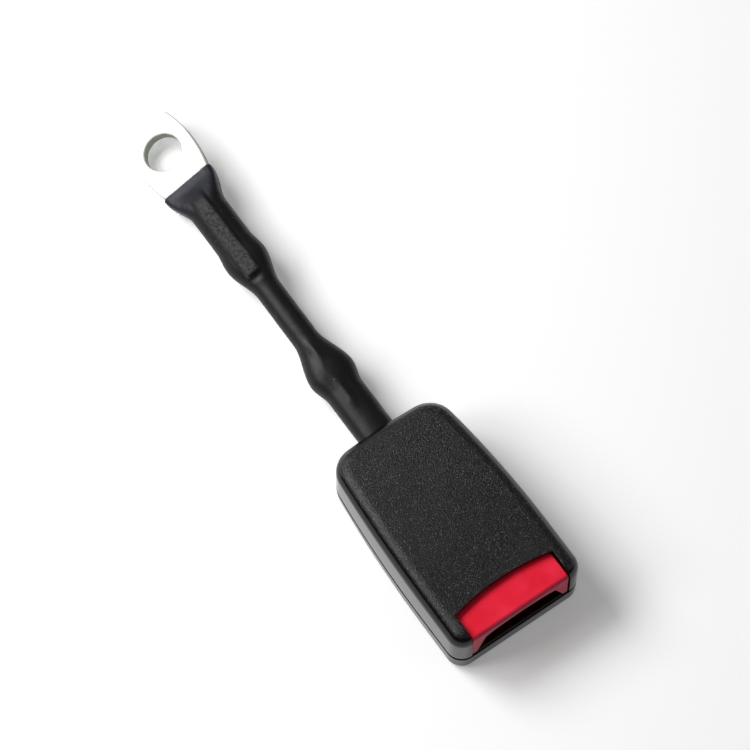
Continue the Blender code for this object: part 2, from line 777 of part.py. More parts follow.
def button_front():
    """Front view of the button: a bar with two tapered legs and an arch between them."""
    half = BUTTON_WIDTH / 2
    root = half - LEG_ROOT_WIDTH
    arch = []
    steps = 14
    for step in range(steps + 1):
        turn = math.pi * step / steps
        x = -root * math.cos(turn)
        rise = (ARCH_SIDE_DROP - ARCH_TOP_DROP) * math.sin(turn)
        arch.append((x, BUTTON_TOP - ARCH_SIDE_DROP + rise))
    tip = half - LEG_TIP_WIDTH
    legs_right = [(tip, BUTTON_FOOT), (half, BUTTON_FOOT)]
    legs_left = [(-half, BUTTON_FOOT), (-tip, BUTTON_FOOT)]
    return [*legs_right, (half, BUTTON_TOP), (-half, BUTTON_TOP), *legs_left, *arch]


def press_button(material, parent):
    start = BUTTON_SETBACK
    end = start + BUTTON_DEPTH
    button = slab("press_button", button_front(), start, end, "XZ")
    round_edges(button, BUTTON_EDGE_RADIUS, 2)
    half = BUTTON_WIDTH / 2
    hollow = box(
        "button_hollow",
        (-ARM_INNER, ARM_INNER),
        (start + BUTTON_WALL, end + OVERSHOOT),
        (0.0, BUTTON_TOP - BUTTON_WALL),
    )
    cut(button, hollow)
    for side in (-1, 1):
        inner, outer = sorted((side * ARM_INNER, side * half))
        arm = box(
            f"button_arm_{side}",
            (inner, outer),
            (start + BUTTON_WALL, ARM_END),
            (ARM_BOTTOM, ARM_TOP),
        )
        join(button, arm)
    reach = BUTTON_WIDTH
    bore = cylinder(
        "lock_bar_bore",
        LOCK_BAR_RADIUS + CLEAR,
        at(-reach, LOCK_BAR_STATION, LOCK_BAR_HEIGHT),
        at(reach, LOCK_BAR_STATION, LOCK_BAR_HEIGHT),
        16,
    )
    cut(button, bore)
    return keep(button, material, parent)


def lock_bar(material, parent):
    half = BUTTON_WIDTH / 2 - CLEAR
    bar = cylinder(
        "lock_bar",
        LOCK_BAR_RADIUS,
        at(-half, LOCK_BAR_STATION, LOCK_BAR_HEIGHT),
        at(half, LOCK_BAR_STATION, LOCK_BAR_HEIGHT),
        20,
    )
    return keep(bar, material, parent)


def coil_points(start, end, radius, turns, per_turn=10):
    """A helix about the line from start to end, both world points."""
    axis = (end - start).normalized()
    side = axis.orthogonal().normalized()
    up = axis.cross(side)
    count = turns * per_turn
    points = []
    for i in range(count + 1):
        angle = 2 * math.pi * i / per_turn
        middle = start.lerp(end, i / count)
        points.append(middle + radius * (math.cos(angle) * side + math.sin(angle) * up))
    return points


def button_springs(material):
    for name, side in (("button_spring_left", -1), ("button_spring_right", 1)):
        x = side * ARM_MIDDLE
        start = at(x, BUTTON_SPRING_START, BUTTON_SPRING_HEIGHT)
        end = at(x, BUTTON_SPRING_START + BUTTON_SPRING_LENGTH, BUTTON_SPRING_HEIGHT)
        points = coil_points(start, end, BUTTON_SPRING_RADIUS, BUTTON_SPRING_TURNS)
        keep(wire(name, points, BUTTON_SPRING_WIRE, 0), material)


def buckle_frame(material):
    half = FRAME_WIDTH / 2
    top = FRAME_TOP
    corner = FRAME_BEND_RADIUS + FRAME_SHEET
    channel = fillet(
        [
            (-half, FRAME_BOTTOM, corner),
            (half, FRAME_BOTTOM, corner),
            (half, top, 0.0),
            (FRAME_INNER, top, 0.0),
            (FRAME_INNER, FRAME_DECK, FRAME_BEND_RADIUS),
            (-FRAME_INNER, FRAME_DECK, FRAME_BEND_RADIUS),
            (-FRAME_INNER, top, 0.0),
            (-half, top, 0.0),
        ],
        4,
    )
    frame = slab("buckle_frame", channel, FRAME_STATION, FRAME_WALL_END, "XZ")
    tail_half = FRAME_TAIL_WIDTH / 2
    tail = box(
        "frame_tail",
        (-tail_half, tail_half),
        (FRAME_WALL_END - OVERSHOOT, FRAME_END),
        (FRAME_BOTTOM, FRAME_DECK),
    )
    tab = box(
        "frame_tab",
        (-TAB_WIDTH / 2, TAB_WIDTH / 2),
        (TAB_STATION, TAB_STATION + TAB_LENGTH),
        (FRAME_BOTTOM + FRAME_SHEET / 2, FRAME_DECK + TAB_HEIGHT),
    )
    join(frame, tail, tab)
    low_front = box(
        "frame_front_step",
        (-half - OVERSHOOT, half + OVERSHOOT),
        (FRAME_STATION - OVERSHOOT, FRAME_STEP_STATION),
        (FRAME_BOTTOM + FRAME_FRONT_HEIGHT, top + OVERSHOOT),
    )
    slot_end = LOCK_BAR_STATION + BUTTON_TRAVEL + LOCK_BAR_RADIUS + CLEAR
    low_rear = box(
        "frame_rear_step",
        (-half - OVERSHOOT, half + OVERSHOOT),
        (slot_end + FRAME_SLOT_MARGIN, FRAME_END),
        (PIVOT_HEIGHT + PIN_RADIUS + CLEAR + PIVOT_ROOF, top + OVERSHOOT),
    )
    keel_slot = box(
        "keel_slot",
        (-KEEL_WIDTH / 2 - CLEAR, KEEL_WIDTH / 2 + CLEAR),
        (
            EJECTOR_END - KEEL_LENGTH - 2 * CLEAR,
            EJECTOR_END + EJECTOR_TRAVEL + 2 * CLEAR,
        ),
        (FRAME_BOTTOM - OVERSHOOT, FRAME_DECK + CLEAR),
    )
    nose_slot = box(
        "nose_slot",
        (-NOSE_HALF_WIDTH - CLEAR, NOSE_HALF_WIDTH + CLEAR),
        (LATCH_STATION - 2 * CLEAR, LATCH_STATION + NOSE_LENGTH + NOSE_SWING),
        (FRAME_BOTTOM - OVERSHOOT, FRAME_DECK + CLEAR),
    )
    bar_slot = box(
        "lock_bar_slot",
        (-half - OVERSHOOT, half + OVERSHOOT),
        (LOCK_BAR_STATION - LOCK_BAR_RADIUS - CLEAR, slot_end),
        (LOCK_BAR_HEIGHT - LOCK_BAR_RADIUS - CLEAR, LOCK_BAR_HEIGHT + LOCK_BAR_RADIUS + CLEAR),
    )
    pin_bore = cylinder(
        "pin_bore",
        PIN_RADIUS + CLEAR,
        at(-half - OVERSHOOT, PIVOT_STATION, PIVOT_HEIGHT),
        at(half + OVERSHOOT, PIVOT_STATION, PIVOT_HEIGHT),
    )
    rivet_bore = cylinder(
        "rivet_bore",
        RIVET_RADIUS + CLEAR,
        at(0.0, RIVET_STATION, FRAME_BOTTOM - OVERSHOOT),
        at(0.0, RIVET_STATION, FRAME_DECK + OVERSHOOT),
    )
    cut(frame, low_front, low_rear, nose_slot, keel_slot, bar_slot, pin_bore, rivet_bore)
    return keep(frame, material)


def latch_plate(material, parent):
    reach = FRAME_INNER - CLEAR
    low = PIVOT_HEIGHT - LATCH_SHEET / 2
    outline = fillet(
        [
            (-LATCH_HALF_WIDTH, LATCH_STATION, LATCH_CORNER_RADIUS),
            (LATCH_HALF_WIDTH, LATCH_STATION, LATCH_CORNER_RADIUS),
            (LATCH_HALF_WIDTH, PIVOT_STATION, 0.0),
            (-LATCH_HALF_WIDTH, PIVOT_STATION, 0.0),
        ],
        4,
    )
    latch = slab("latch_plate", outline, low, LATCH_TOP)
    nose = box(
        "latch_nose",
        (-NOSE_HALF_WIDTH, NOSE_HALF_WIDTH),
        (LATCH_STATION, LATCH_STATION + NOSE_LENGTH),
        (low - NOSE_DEPTH, PIVOT_HEIGHT),
    )
    knuckle = cylinder(
        "latch_knuckle",
        KNUCKLE_RADIUS,
        at(-reach, PIVOT_STATION, PIVOT_HEIGHT),
        at(reach, PIVOT_STATION, PIVOT_HEIGHT),
        28,
    )
    join(latch, nose, knuckle)
    spring_gap = box(
        "latch_spring_gap",
        (-KNUCKLE_GAP / 2, KNUCKLE_GAP / 2),
        (PIVOT_STATION - KNUCKLE_RADIUS - CLEAR, PIVOT_STATION + KNUCKLE_RADIUS + CLEAR),
        (PIVOT_HEIGHT - 2 * KNUCKLE_RADIUS, PIVOT_HEIGHT + 2 * KNUCKLE_RADIUS),
    )
    bore = cylinder(
        "latch_bore",
        PIN_RADIUS + CLEAR,
        at(-FRAME_WIDTH, PIVOT_STATION, PIVOT_HEIGHT),
        at(FRAME_WIDTH, PIVOT_STATION, PIVOT_HEIGHT),
    )
    cut(latch, spring_gap, bore)
    return keep(latch, material, parent)


def latch_pin(material):
    outside = FRAME_WIDTH / 2 + CLEAR
    reach = outside + PIN_HEAD_LENGTH
    pin = cylinder(
        "latch_pin",
        PIN_RADIUS,
        at(-reach, PIVOT_STATION, PIVOT_HEIGHT),
        at(reach, PIVOT_STATION, PIVOT_HEIGHT),
    )
    for side in (-1, 1):
        head = cylinder(
            f"pin_head_{side}",
            PIN_HEAD_RADIUS,
            at(side * outside, PIVOT_STATION, PIVOT_HEIGHT),
            at(side * reach, PIVOT_STATION, PIVOT_HEIGHT),
        )
        join(pin, head)
    return keep(pin, material)


def latch_spring(material, parent):
    """A torsion spring round the pin: one leg under the latch, the other on the frame."""
    span = KNUCKLE_GAP / 2 - 2 * CLEAR - LATCH_SPRING_WIRE
    per_turn = 12
    count = LATCH_SPRING_TURNS * per_turn + per_turn * 3 // 4
    front_end = at(
        -span,
        PIVOT_STATION - LATCH_SPRING_LEG,
        PIVOT_HEIGHT - LATCH_SHEET / 2 - CLEAR - LATCH_SPRING_WIRE,
    )
    points = [front_end]
    for i in range(count + 1):
        angle = -math.pi / 2 + 2 * math.pi * i / per_turn
        x = -span + 2 * span * i / count
        station = PIVOT_STATION + LATCH_SPRING_RADIUS * math.cos(angle + math.pi)
        points.append(at(x, station, PIVOT_HEIGHT + LATCH_SPRING_RADIUS * math.sin(angle)))
    foot = FRAME_DECK + CLEAR + LATCH_SPRING_WIRE
    points.append(at(span, PIVOT_STATION + LATCH_SPRING_RADIUS, foot))
    return keep(wire("latch_spring", points, LATCH_SPRING_WIRE, 0), material, parent)


def ejector(material, parent):
    half = EJECTOR_WIDTH / 2
    outline = fillet(
        [
            (-half, EJECTOR_STATION, EJECTOR_CORNER_RADIUS),
            (half, EJECTOR_STATION, EJECTOR_CORNER_RADIUS),
            (half, EJECTOR_END, EJECTOR_CORNER_RADIUS),
            (-half, EJECTOR_END, EJECTOR_CORNER_RADIUS),
        ],
        3,
    )
    slider = slab("ejector", outline, EJECTOR_BOTTOM, EJECTOR_BOTTOM + EJECTOR_THICKNESS)
    keel = box(
        "ejector_keel",
        (-KEEL_WIDTH / 2, KEEL_WIDTH / 2),
        (EJECTOR_END - KEEL_LENGTH, EJECTOR_END - CLEAR),
        (FRAME_BOTTOM, EJECTOR_BOTTOM + EJECTOR_THICKNESS / 2),
    )
    join(slider, keel)
    return keep(slider, material, parent)


def ejector_spring(material):
    height = EJECTOR_BOTTOM + EJECTOR_SPRING_RADIUS + EJECTOR_SPRING_WIRE
    start = at(0.0, EJECTOR_SPRING_START, height)
    end = at(0.0, EJECTOR_SPRING_START + EJECTOR_SPRING_LENGTH, height)
    points = coil_points(start, end, EJECTOR_SPRING_RADIUS, EJECTOR_SPRING_TURNS)
    return keep(wire("ejector_spring", points, EJECTOR_SPRING_WIRE, 0), material)


def frame_rivet(material):
    foot = FRAME_BOTTOM - CLEAR
    head = FRAME_DECK + 2 * CLEAR + PLATE_THICKNESS
    crown = head + RIVET_HEAD_HEIGHT
    profile = [
        (0.0, crown),
        (RIVET_CROWN_RADIUS, crown),
        (RIVET_HEAD_RADIUS, head + RIVET_SHOULDER_HEIGHT),
        (RIVET_HEAD_RADIUS, head),
        (RIVET_RADIUS, head),
        (RIVET_RADIUS, foot),
        (RIVET_HEAD_RADIUS, foot),
        (RIVET_HEAD_RADIUS, foot - RIVET_FOOT_HEIGHT),
        (0.0, foot - RIVET_FOOT_HEIGHT),
    ]
    return keep(turned("frame_rivet", profile, at(0.0, RIVET_STATION, 0.0)), material)


def rope_bore(name, start, end, height):
    return cylinder(name, ROPE_RADIUS + CLEAR, at(0.0, start, height), at(0.0, end, height), 20)


def buckle_terminal(material):
    """Tube crimped on the rope, pressed flat into an eye where the frame's rivet holds it."""
    stations = stalk_stations(EYE_END, ROPE_START)
    terminal = loft("buckle_terminal", [sleeve_ring(station, SLEEVE) for station in stations])
    half = EYE_WIDTH / 2
    outline = fillet(
        [
            (-half, EYE_START, EYE_CORNER_RADIUS),
            (half, EYE_START, EYE_CORNER_RADIUS),
            (half, EYE_END + OVERSHOOT, 0.0),
            (-half, EYE_END + OVERSHOOT, 0.0),
        ]
    )
    low = FRAME_DECK + CLEAR
    eye = slab("rope_eye", outline, low, low + PLATE_THICKNESS)
    hole = cylinder(
        "eye_hole",
        RIVET_RADIUS + CLEAR,
        at(0.0, RIVET_STATION, low - OVERSHOOT),
        at(0.0, RIVET_STATION, low + PLATE_THICKNESS + OVERSHOOT),
    )
    bore = rope_bore(
        "buckle_rope_bore",
        ROPE_START - ROPE_GRIP - CLEAR,
        ROPE_START + OVERSHOOT,
        BUCKLE_AXIS_HEIGHT,
    )
    join(terminal, eye)
    cut(terminal, hole, bore)
    return keep(terminal, material)


def plate_half_width(station):
    """Half the width of the anchor plate, bowed out on both sides of the hole."""
    away = station - HOLE_STATION
    if away < 0:
        end, reach = PLATE_MOUTH_WIDTH, MOUTH_TO_HOLE
    else:
        end, reach = PLATE_END_WIDTH, HOLE_TO_END
    return (PLATE_WIDTH - (PLATE_WIDTH - end) * (away / reach) ** 2) / 2


def anchor_plate(material):
    """Tube crimped on the rope, pressed flat into a plate with the bolt hole."""
    rings = [sleeve_ring(s, SLEEVE) for s in stalk_stations(ROPE_END, MOUTH_STATION)]
    reach = stalk_pose(MOUTH_STATION).to_3x3() @ Vector((0.0, OVERSHOOT, 0.0))
    rings.append([point + reach for point in sleeve_ring(MOUTH_STATION, SLEEVE + CLEAR)])
    plate = loft("anchor_plate", rings)
    steps = 10
    end = TOTAL_LENGTH - PLATE_END_BOW
    right = []
    for step in range(steps):
        station = MOUTH_STATION + CLEAR + (end - MOUTH_STATION - CLEAR) * step / steps
        right.append((plate_half_width(station), station, 0.0))
    right.append((plate_half_width(end), end, PLATE_CORNER_RADIUS))
    left = [(-x, station, radius) for x, station, radius in reversed(right)]
    outline = fillet([*right, (0.0, TOTAL_LENGTH, 0.0), *left], 4)
    flat = slab("anchor_flat", outline, -PLATE_THICKNESS / 2, PLATE_THICKNESS / 2)
    lay_in_plate(flat)
    round_edges(flat, PLATE_EDGE_RADIUS, 2)
    hole = cylinder(
        "bolt_hole",
        HOLE_DIAMETER / 2,
        at(0.0, HOLE_STATION, -PLATE_THICKNESS),
        at(0.0, HOLE_STATION, PLATE_THICKNESS),
        40,
    )
    lay_in_plate(hole)
    bore = rope_bore(
        "anchor_rope_bore",
        ROPE_END - OVERSHOOT,
        ROPE_END + ROPE_GRIP + CLEAR,
        ANCHOR_AXIS_HEIGHT,
    )
    join(plate, flat)
    cut(plate, hole, bore)
    return keep(plate, material)


def wire_rope(material):
    points = rope_line(ROPE_START - ROPE_GRIP, ROPE_END + ROPE_GRIP)
    return keep(wire("wire_rope", points, ROPE_RADIUS, 3), material)


def rope_liner(material):
    """Plastic hose on the bare stretch of the rope, between the two terminals."""
    start = ROPE_START + CLEAR
    end = ROPE_END - CLEAR
    count = 6
    stations = [start + (end - start) * i / count for i in range(count + 1)]
    outer_radius = ROPE_COVER_DIAMETER / 2 - SLEEVE
    rings = []
    for radius in (outer_radius, ROPE_RADIUS + CLEAR):
        tube = []
        for station in stations:
            middle = at(0.0, station, stepped(AXIS_HEIGHTS, station))
            turns = [2 * math.pi * i / 16 for i in range(16)]
            tube.append([middle + radius * Vector((math.cos(a), 0, math.sin(a))) for a in turns])
        rings.append(tube)
    return keep(loft("rope_liner", rings[0], rings[1]), material)


def shrink_tube(material):
    stations = stalk_stations(TUBE_START, MOUTH_STATION)
    outer = [sleeve_ring(station, 0.0) for station in stations]
    inner = [sleeve_ring(station, TUBE_WALL) for station in stations]
    return keep(loft("shrink_tube", outer, inner), material)


def cover_screws(material):
    low = SCREW_HEAD_RECESS
    seat = low + SCREW_HEAD_HEIGHT
    profile = [
        (0.0, seat + SCREW_LENGTH),
        (SCREW_TIP_RADIUS, seat + SCREW_LENGTH),
        (SCREW_RADIUS, seat + SCREW_LENGTH - SCREW_RADIUS),
        (SCREW_RADIUS, seat),
        (SCREW_HEAD_RADIUS, seat),
        (SCREW_HEAD_RADIUS, low),
        (0.0, low),
    ]
    for name, (x, station) in zip(("cover_screw_left", "cover_screw_right"), screw_places()):
        keep(turned(name, profile, at(x, station, 0.0), 20), material)


def build():
    clear_scene()
    grained = look("grained_black_plastic", (0.026, 0.026, 0.027), 0.55)
    red = look("red_plastic", (0.80, 0.012, 0.035), 0.38)
    sleeve = look("black_sleeve", (0.017, 0.017, 0.020), 0.42)
    zinc = look("zinc_plated_steel", (0.82, 0.84, 0.80), 0.34, 1.0)
    steel = look("plain_steel", (0.55, 0.55, 0.56), 0.35, 1.0)
    spring_steel = look("spring_steel", (0.42, 0.42, 0.44), 0.3, 1.0)
    nylon = look("white_nylon", (0.75, 0.74, 0.70), 0.5)
    button_axis = axis_empty("button_axis", at(0.0, BUTTON_SETBACK, BUTTON_TOP))
    ejector_axis = axis_empty("ejector_axis", at(0.0, EJECTOR_STATION, EJECTOR_BOTTOM))
    latch_axis = axis_empty("latch_axis", at(0.0, PIVOT_STATION, PIVOT_HEIGHT))
    upper_cover(grained)
    lower_cover(grained)
    press_button(red, button_axis)
    lock_bar(steel, button_axis)
    button_springs(spring_steel)
    buckle_frame(zinc)
    latch_plate(steel, latch_axis)
    latch_pin(steel)
    latch_spring(spring_steel, latch_axis)
    ejector(nylon, ejector_axis)
    ejector_spring(spring_steel)
    frame_rivet(zinc)
    buckle_terminal(zinc)
    anchor_plate(zinc)
    wire_rope(steel)
    rope_liner(nylon)
    shrink_tube(sleeve)
    cover_screws(zinc)


build()
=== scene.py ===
import math

import bmesh
import bpy
from mathutils import Matrix, Vector, noise


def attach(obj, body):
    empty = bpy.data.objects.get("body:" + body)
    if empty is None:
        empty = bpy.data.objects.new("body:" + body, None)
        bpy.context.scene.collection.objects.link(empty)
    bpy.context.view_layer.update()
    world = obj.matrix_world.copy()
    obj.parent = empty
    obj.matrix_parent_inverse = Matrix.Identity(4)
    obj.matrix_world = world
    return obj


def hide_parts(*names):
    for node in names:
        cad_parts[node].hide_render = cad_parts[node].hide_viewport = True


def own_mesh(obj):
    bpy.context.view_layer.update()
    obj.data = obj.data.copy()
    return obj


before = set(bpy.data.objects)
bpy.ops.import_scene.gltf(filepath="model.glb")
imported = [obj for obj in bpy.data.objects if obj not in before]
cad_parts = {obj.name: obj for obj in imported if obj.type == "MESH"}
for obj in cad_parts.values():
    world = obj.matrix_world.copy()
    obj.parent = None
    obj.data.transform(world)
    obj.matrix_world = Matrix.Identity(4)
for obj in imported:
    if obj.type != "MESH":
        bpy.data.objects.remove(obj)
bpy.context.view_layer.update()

# The frame's sizes, in metres, as the solids have them. A station lies behind the front lip.
FRONT = -0.1091
CLEAR = 0.0003
LENGTH = 0.079
WIDTH = 0.0497
HEIGHT = 0.025
STRAIGHT = 0.020
TAPER = 0.0038
REAR_BOW = 0.0009
FRONT_CORNER = 0.0055
REAR_CORNER = 0.0095
SHOULDER = 0.0050
ROOF_LEVEL = 0.020
ROOF_DROP = 0.0050
BASE = 0.0030
SIDE_WALL = 0.0022
TOP_WALL = 0.0018
FLOOR_WALL = 0.0022
PARTING_FRONT = 0.0090
PARTING_REAR = 0.0056
GROOVE_HEIGHT = 0.0010
GROOVE_DEPTH = 0.0006
GROOVE_EASE = 0.0003
BUTTON_WIDTH = 0.0375
BUTTON_TOP_DEPTH = 0.0100
BUTTON_BOW = 0.0022
BUTTON_SETBACK = 0.0003
BUTTON_WALL = 0.0022
BUTTON_EDGE = 0.0016
LEG_TIP = 0.0019
LEG_ROOT = 0.0050
ARCH_SIDE = 0.0175
ARCH_TOP = 0.0200
ARM_BOTTOM = 0.0138
ARM_TOP = 0.0218
ARM_END = 0.0396
LOCK_BAR_STATION = 0.034
LOCK_BAR_HEIGHT = 0.0195
LOCK_BAR_RADIUS = 0.0014
SCREWS = ((-0.0155, 0.0675), (0.0155, 0.0675))
EYE_END = 0.0693
EYE_TAPER = 0.0055
TUBE_START = 0.0750
ROPE_START = 0.1165
ROPE_END = 0.1480
FLATTENING_START = 0.1776
MOUTH = 0.1904
MOUTH_TO_HOLE = 0.0147
HOLE_TO_END = 0.0131
PLATE_THICKNESS = 0.0042
PLATE_WIDTH = 0.0221
PLATE_MOUTH_WIDTH = 0.0182
PLATE_END_WIDTH = 0.0176
PLATE_END_BOW = 0.0009
PLATE_CORNER = 0.0020
HOLE_RADIUS = 0.0066
SLEEVE = 0.0009
TUBE_WALL = 0.0006

BARREL_BORE_RADIUS = 0.0028
BARREL_BORE_DEPTH = 0.0223

# Sizes of the dressed pieces alone
BARREL_STEP = 0.0012
BARREL_REACH = 0.002
OVERCUT = 0.002
SNAP = 0.00003
SMALL_EDGE = 0.00022
ARM_INSET = 0.00002
BUTTON_SMALL_EDGE = 0.0005
PLATE_EDGE = 0.00055
SMOOTH_ANGLE = 35.0
EDGE_ANGLE = 50.0
COIL_ANGLE = 60.0
WELD = 0.00002
FINE_WELD = 0.000004
ROOF_CUT_START = 0.0055
ROOF_CUT_END = LENGTH - 0.0035
ROOF_CUT_STEP = 0.0024
BOSS_RADIUS = 0.0029
BOSS_ROOT = 0.0004
PILOT_RADIUS = 0.0017
PILOT_TOP = 0.0173
RECESS_RADIUS = 0.0027
RECESS_TOP = 0.0023
SCREW_BORE_TOP = 0.011
SCREW_TIP = 0.0170
SCREW_SHANK = 0.0014
SCREW_SEAT = 0.0020
SCREW_HEAD = 0.0024
SCREW_FACE = 0.0005
SCREW_ROUND = 0.0005
RECESS_ARM = (0.0014, 0.00028)
RECESS_DEPTH = 0.0008
RIB_X = 0.009
RIB_HALF = 0.001
RIB_STATIONS = (0.012, 0.060)
RIB_HEIGHTS = (FLOOR_WALL / 2, 0.0061)
POST_X = 0.01765
POST_HALF = 0.0025
POST_STATIONS = (0.0578, 0.0603)
POST_HEIGHTS = (FLOOR_WALL / 2, 0.0194)


def at(x, station, z):
    return Vector((x, FRONT + station, z))


# Meshes

def new_object(name, bm, smooth=SMOOTH_ANGLE):
    mesh = bpy.data.meshes.new(name)
    bm.to_mesh(mesh)
    bm.free()
    obj = bpy.data.objects.new(name, mesh)
    bpy.context.scene.collection.objects.link(obj)
    shade(obj, smooth)
    return obj


def shade(obj, angle=SMOOTH_ANGLE):
    obj.data.shade_smooth()
    obj.data.set_sharp_from_angle(angle=math.radians(angle))


def apply_modifiers(obj):
    bpy.context.view_layer.update()
    graph = bpy.context.evaluated_depsgraph_get()
    mesh = bpy.data.meshes.new_from_object(obj.evaluated_get(graph))
    obj.modifiers.clear()
    obj.data = mesh


def prism(name, outline, low, high):
    """A level slab on an outline of (x, station)."""
    bm = bmesh.new()
    bottom = [bm.verts.new(at(x, s, low)) for x, s in outline]
    top = [bm.verts.new(at(x, s, high)) for x, s in outline]
    bm.faces.new(bottom[::-1])
    bm.faces.new(top)
    count = len(outline)
    for i in range(count):
        j = (i + 1) % count
        bm.faces.new([bottom[i], bottom[j], top[j], top[i]])
    bmesh.ops.recalc_face_normals(bm, faces=bm.faces)
    return new_object(name, bm)


def upright(name, outline, start, end):
    """A slab on an outline of (x, z), between two stations."""
    bm = bmesh.new()
    near = [bm.verts.new(at(x, start, z)) for x, z in outline]
    far = [bm.verts.new(at(x, end, z)) for x, z in outline]
    bm.faces.new(near)
    bm.faces.new(far[::-1])
    count = len(outline)
    for i in range(count):
        j = (i + 1) % count
        bm.faces.new([near[i], far[i], far[j], near[j]])
    bmesh.ops.recalc_face_normals(bm, faces=bm.faces)
    return new_object(name, bm)


def block(name, xs, stations, zs):
    (left, right), (near, far) = xs, stations
    return prism(name, [(left, near), (right, near), (right, far), (left, far)], *zs)


def rod(name, radius, start, end, sides=48):
    bm = bmesh.new()
    reach = Vector(end) - Vector(start)
    bmesh.ops.create_cone(
        bm, cap_ends=True, segments=sides, radius1=radius, radius2=radius, depth=reach.length
    )
    turn = Vector((0, 0, 1)).rotation_difference(reach).to_matrix().to_4x4()
    middle = Matrix.Translation(Vector(start) + reach / 2)
    bmesh.ops.transform(bm, matrix=middle @ turn, verts=bm.verts)
    return new_object(name, bm)


def pin(name, radius, x, station, low, high, sides=48):
    """A rod that stands upright."""
    return rod(name, radius, at(x, station, low), at(x, station, high), sides)


def combine(obj, tool, operation):
    modifier = obj.modifiers.new(tool.name, "BOOLEAN")
    modifier.operation = operation
    modifier.solver = "EXACT"
    modifier.object = tool
    apply_modifiers(obj)
    bpy.data.objects.remove(tool, do_unlink=True)


def soften(obj, width, segments):
    """Rounds every edge sharper than EDGE_ANGLE."""
    bevel = obj.modifiers.new("soften", "BEVEL")
    bevel.width = width
    bevel.segments = segments
    bevel.limit_method = "ANGLE"
    bevel.angle_limit = math.radians(EDGE_ANGLE)
    bevel.use_clamp_overlap = False
    apply_modifiers(obj)
    shade(obj)


def weld(obj, distance=WELD):
    bm = bmesh.new()
    bm.from_mesh(obj.data)
    bmesh.ops.remove_doubles(bm, verts=bm.verts, dist=distance)
    bmesh.ops.dissolve_degenerate(bm, edges=bm.edges, dist=distance)
    bm.to_mesh(obj.data)
    bm.free()


def even_normals(obj):
    """Keeps wide flat faces flat beside their rounded edges."""
    weighted = obj.modifiers.new("even_normals", "WEIGHTED_NORMAL")
    weighted.keep_sharp = True
    weighted.weight = 90
    return obj


# Outlines

def fillet(corners, segments=16):
    """An outline through corners of (x, y, radius), each rounded by its radius."""
    outline = []
    for i, (x, y, radius) in enumerate(corners):
        here = Vector((x, y))
        if radius <= 0:
            outline.append((x, y))
            continue
        before = (Vector(corners[i - 1][:2]) - here).normalized()
        after = (Vector(corners[(i + 1) % len(corners)][:2]) - here).normalized()
        half = before.angle(after) / 2
        centre = here + (before + after).normalized() * radius / math.sin(half)
        start = here + before * radius / math.tan(half) - centre
        end = here + after * radius / math.tan(half) - centre
        sweep = start.angle_signed(end)
        for step in range(segments + 1):
            turn = Matrix.Rotation(-sweep * step / segments, 2)
            outline.append(tuple(centre + turn @ start))
    return outline


def inset(outline, distance):
    """A closed outline, moved inwards."""
    moved = []
    for i, point in enumerate(outline):
        here = Vector(point)
        before = (here - Vector(outline[i - 1])).normalized()
        after = (Vector(outline[(i + 1) % len(outline)]) - here).normalized()
        inwards = Vector((-before.y - after.y, before.x + after.x)).normalized()
        moved.append(tuple(here + inwards * distance / math.cos(before.angle(after) / 2)))
    return moved


def half_width(station):
    past = max(0.0, station - STRAIGHT) / (LENGTH - STRAIGHT)
    return WIDTH / 2 - TAPER * past**2


def parting(station):
    return PARTING_FRONT + (PARTING_REAR - PARTING_FRONT) * station / LENGTH


def beside_parting(offset):
    """Heights that follow the parting line of the shells, this far above it."""
    return lambda station: parting(station) + offset


def shell_outline():
    side_end = LENGTH - REAR_CORNER - 2 * CLEAR
    steps = 26
    side = []
    for step in range(steps + 1):
        station = STRAIGHT + (side_end - STRAIGHT) * step / steps
        side.append((half_width(station), station, 0.0))
    right = [(WIDTH / 2, 0.0, FRONT_CORNER), *side]
    right.append((half_width(LENGTH), LENGTH - REAR_BOW, REAR_CORNER))
    left = [(-x, station, radius) for x, station, radius in reversed(right)]
    return fillet([*right, (0.0, LENGTH, 0.0), *left])


def roof_share(station):
    """Height of the roof as a share of the full height: level in front, then bowed down."""
    past = max(0.0, station - ROOF_LEVEL) / (LENGTH - ROOF_LEVEL)
    return 1 - ROOF_DROP / HEIGHT * past**2


def cut_across(obj, start, end, step):
    """Cuts the wide faces across, so that they follow the bow of the roof."""
    bm = bmesh.new()
    bm.from_mesh(obj.data)
    for station in span(start, end, step):
        geometry = [*bm.verts, *bm.edges, *bm.faces]
        plane = at(0.0, station, 0.0)
        bmesh.ops.bisect_plane(bm, geom=geometry, dist=WELD, plane_co=plane, plane_no=(0, 1, 0))
    bm.to_mesh(obj.data)
    bm.free()


def shell(name, levels, bowed=False):
    """A closed skin through insets of the shells' outline, at levels of (inset, height).

    In a bowed shell the fixed heights follow the roof. A height may also be a function of the
    station, which is used as it is.
    """
    outline = shell_outline()
    bm = bmesh.new()
    rings = []
    for distance, height in levels:
        points = inset(outline, distance) if distance else outline
        ring = []
        for x, station in points:
            z = height(station) if callable(height) else height
            if bowed and not callable(height) and height > 0:
                z *= roof_share(station)
            ring.append(bm.verts.new(at(x, station, z)))
        rings.append(ring)
    count = len(outline)
    for lower, upper in zip(rings, rings[1:]):
        for i in range(count):
            j = (i + 1) % count
            bm.faces.new([lower[i], lower[j], upper[j], upper[i]])
    bm.faces.new(rings[0][::-1])
    bm.faces.new(rings[-1])
    bmesh.ops.recalc_face_normals(bm, faces=bm.faces)
    return new_object(name, bm)


def arc_levels(radius, height, start_inset, upwards, steps=9):
    """Rounds the edge of a shell between its wall and its flat face."""
    levels = []
    for step in range(steps + 1):
        turn = math.pi / 2 * step / steps
        distance = start_inset + radius * (1 - math.cos(turn))
        below = radius * (1 - math.sin(turn))
        levels.append((distance, height - below if upwards else height + below))
    return levels


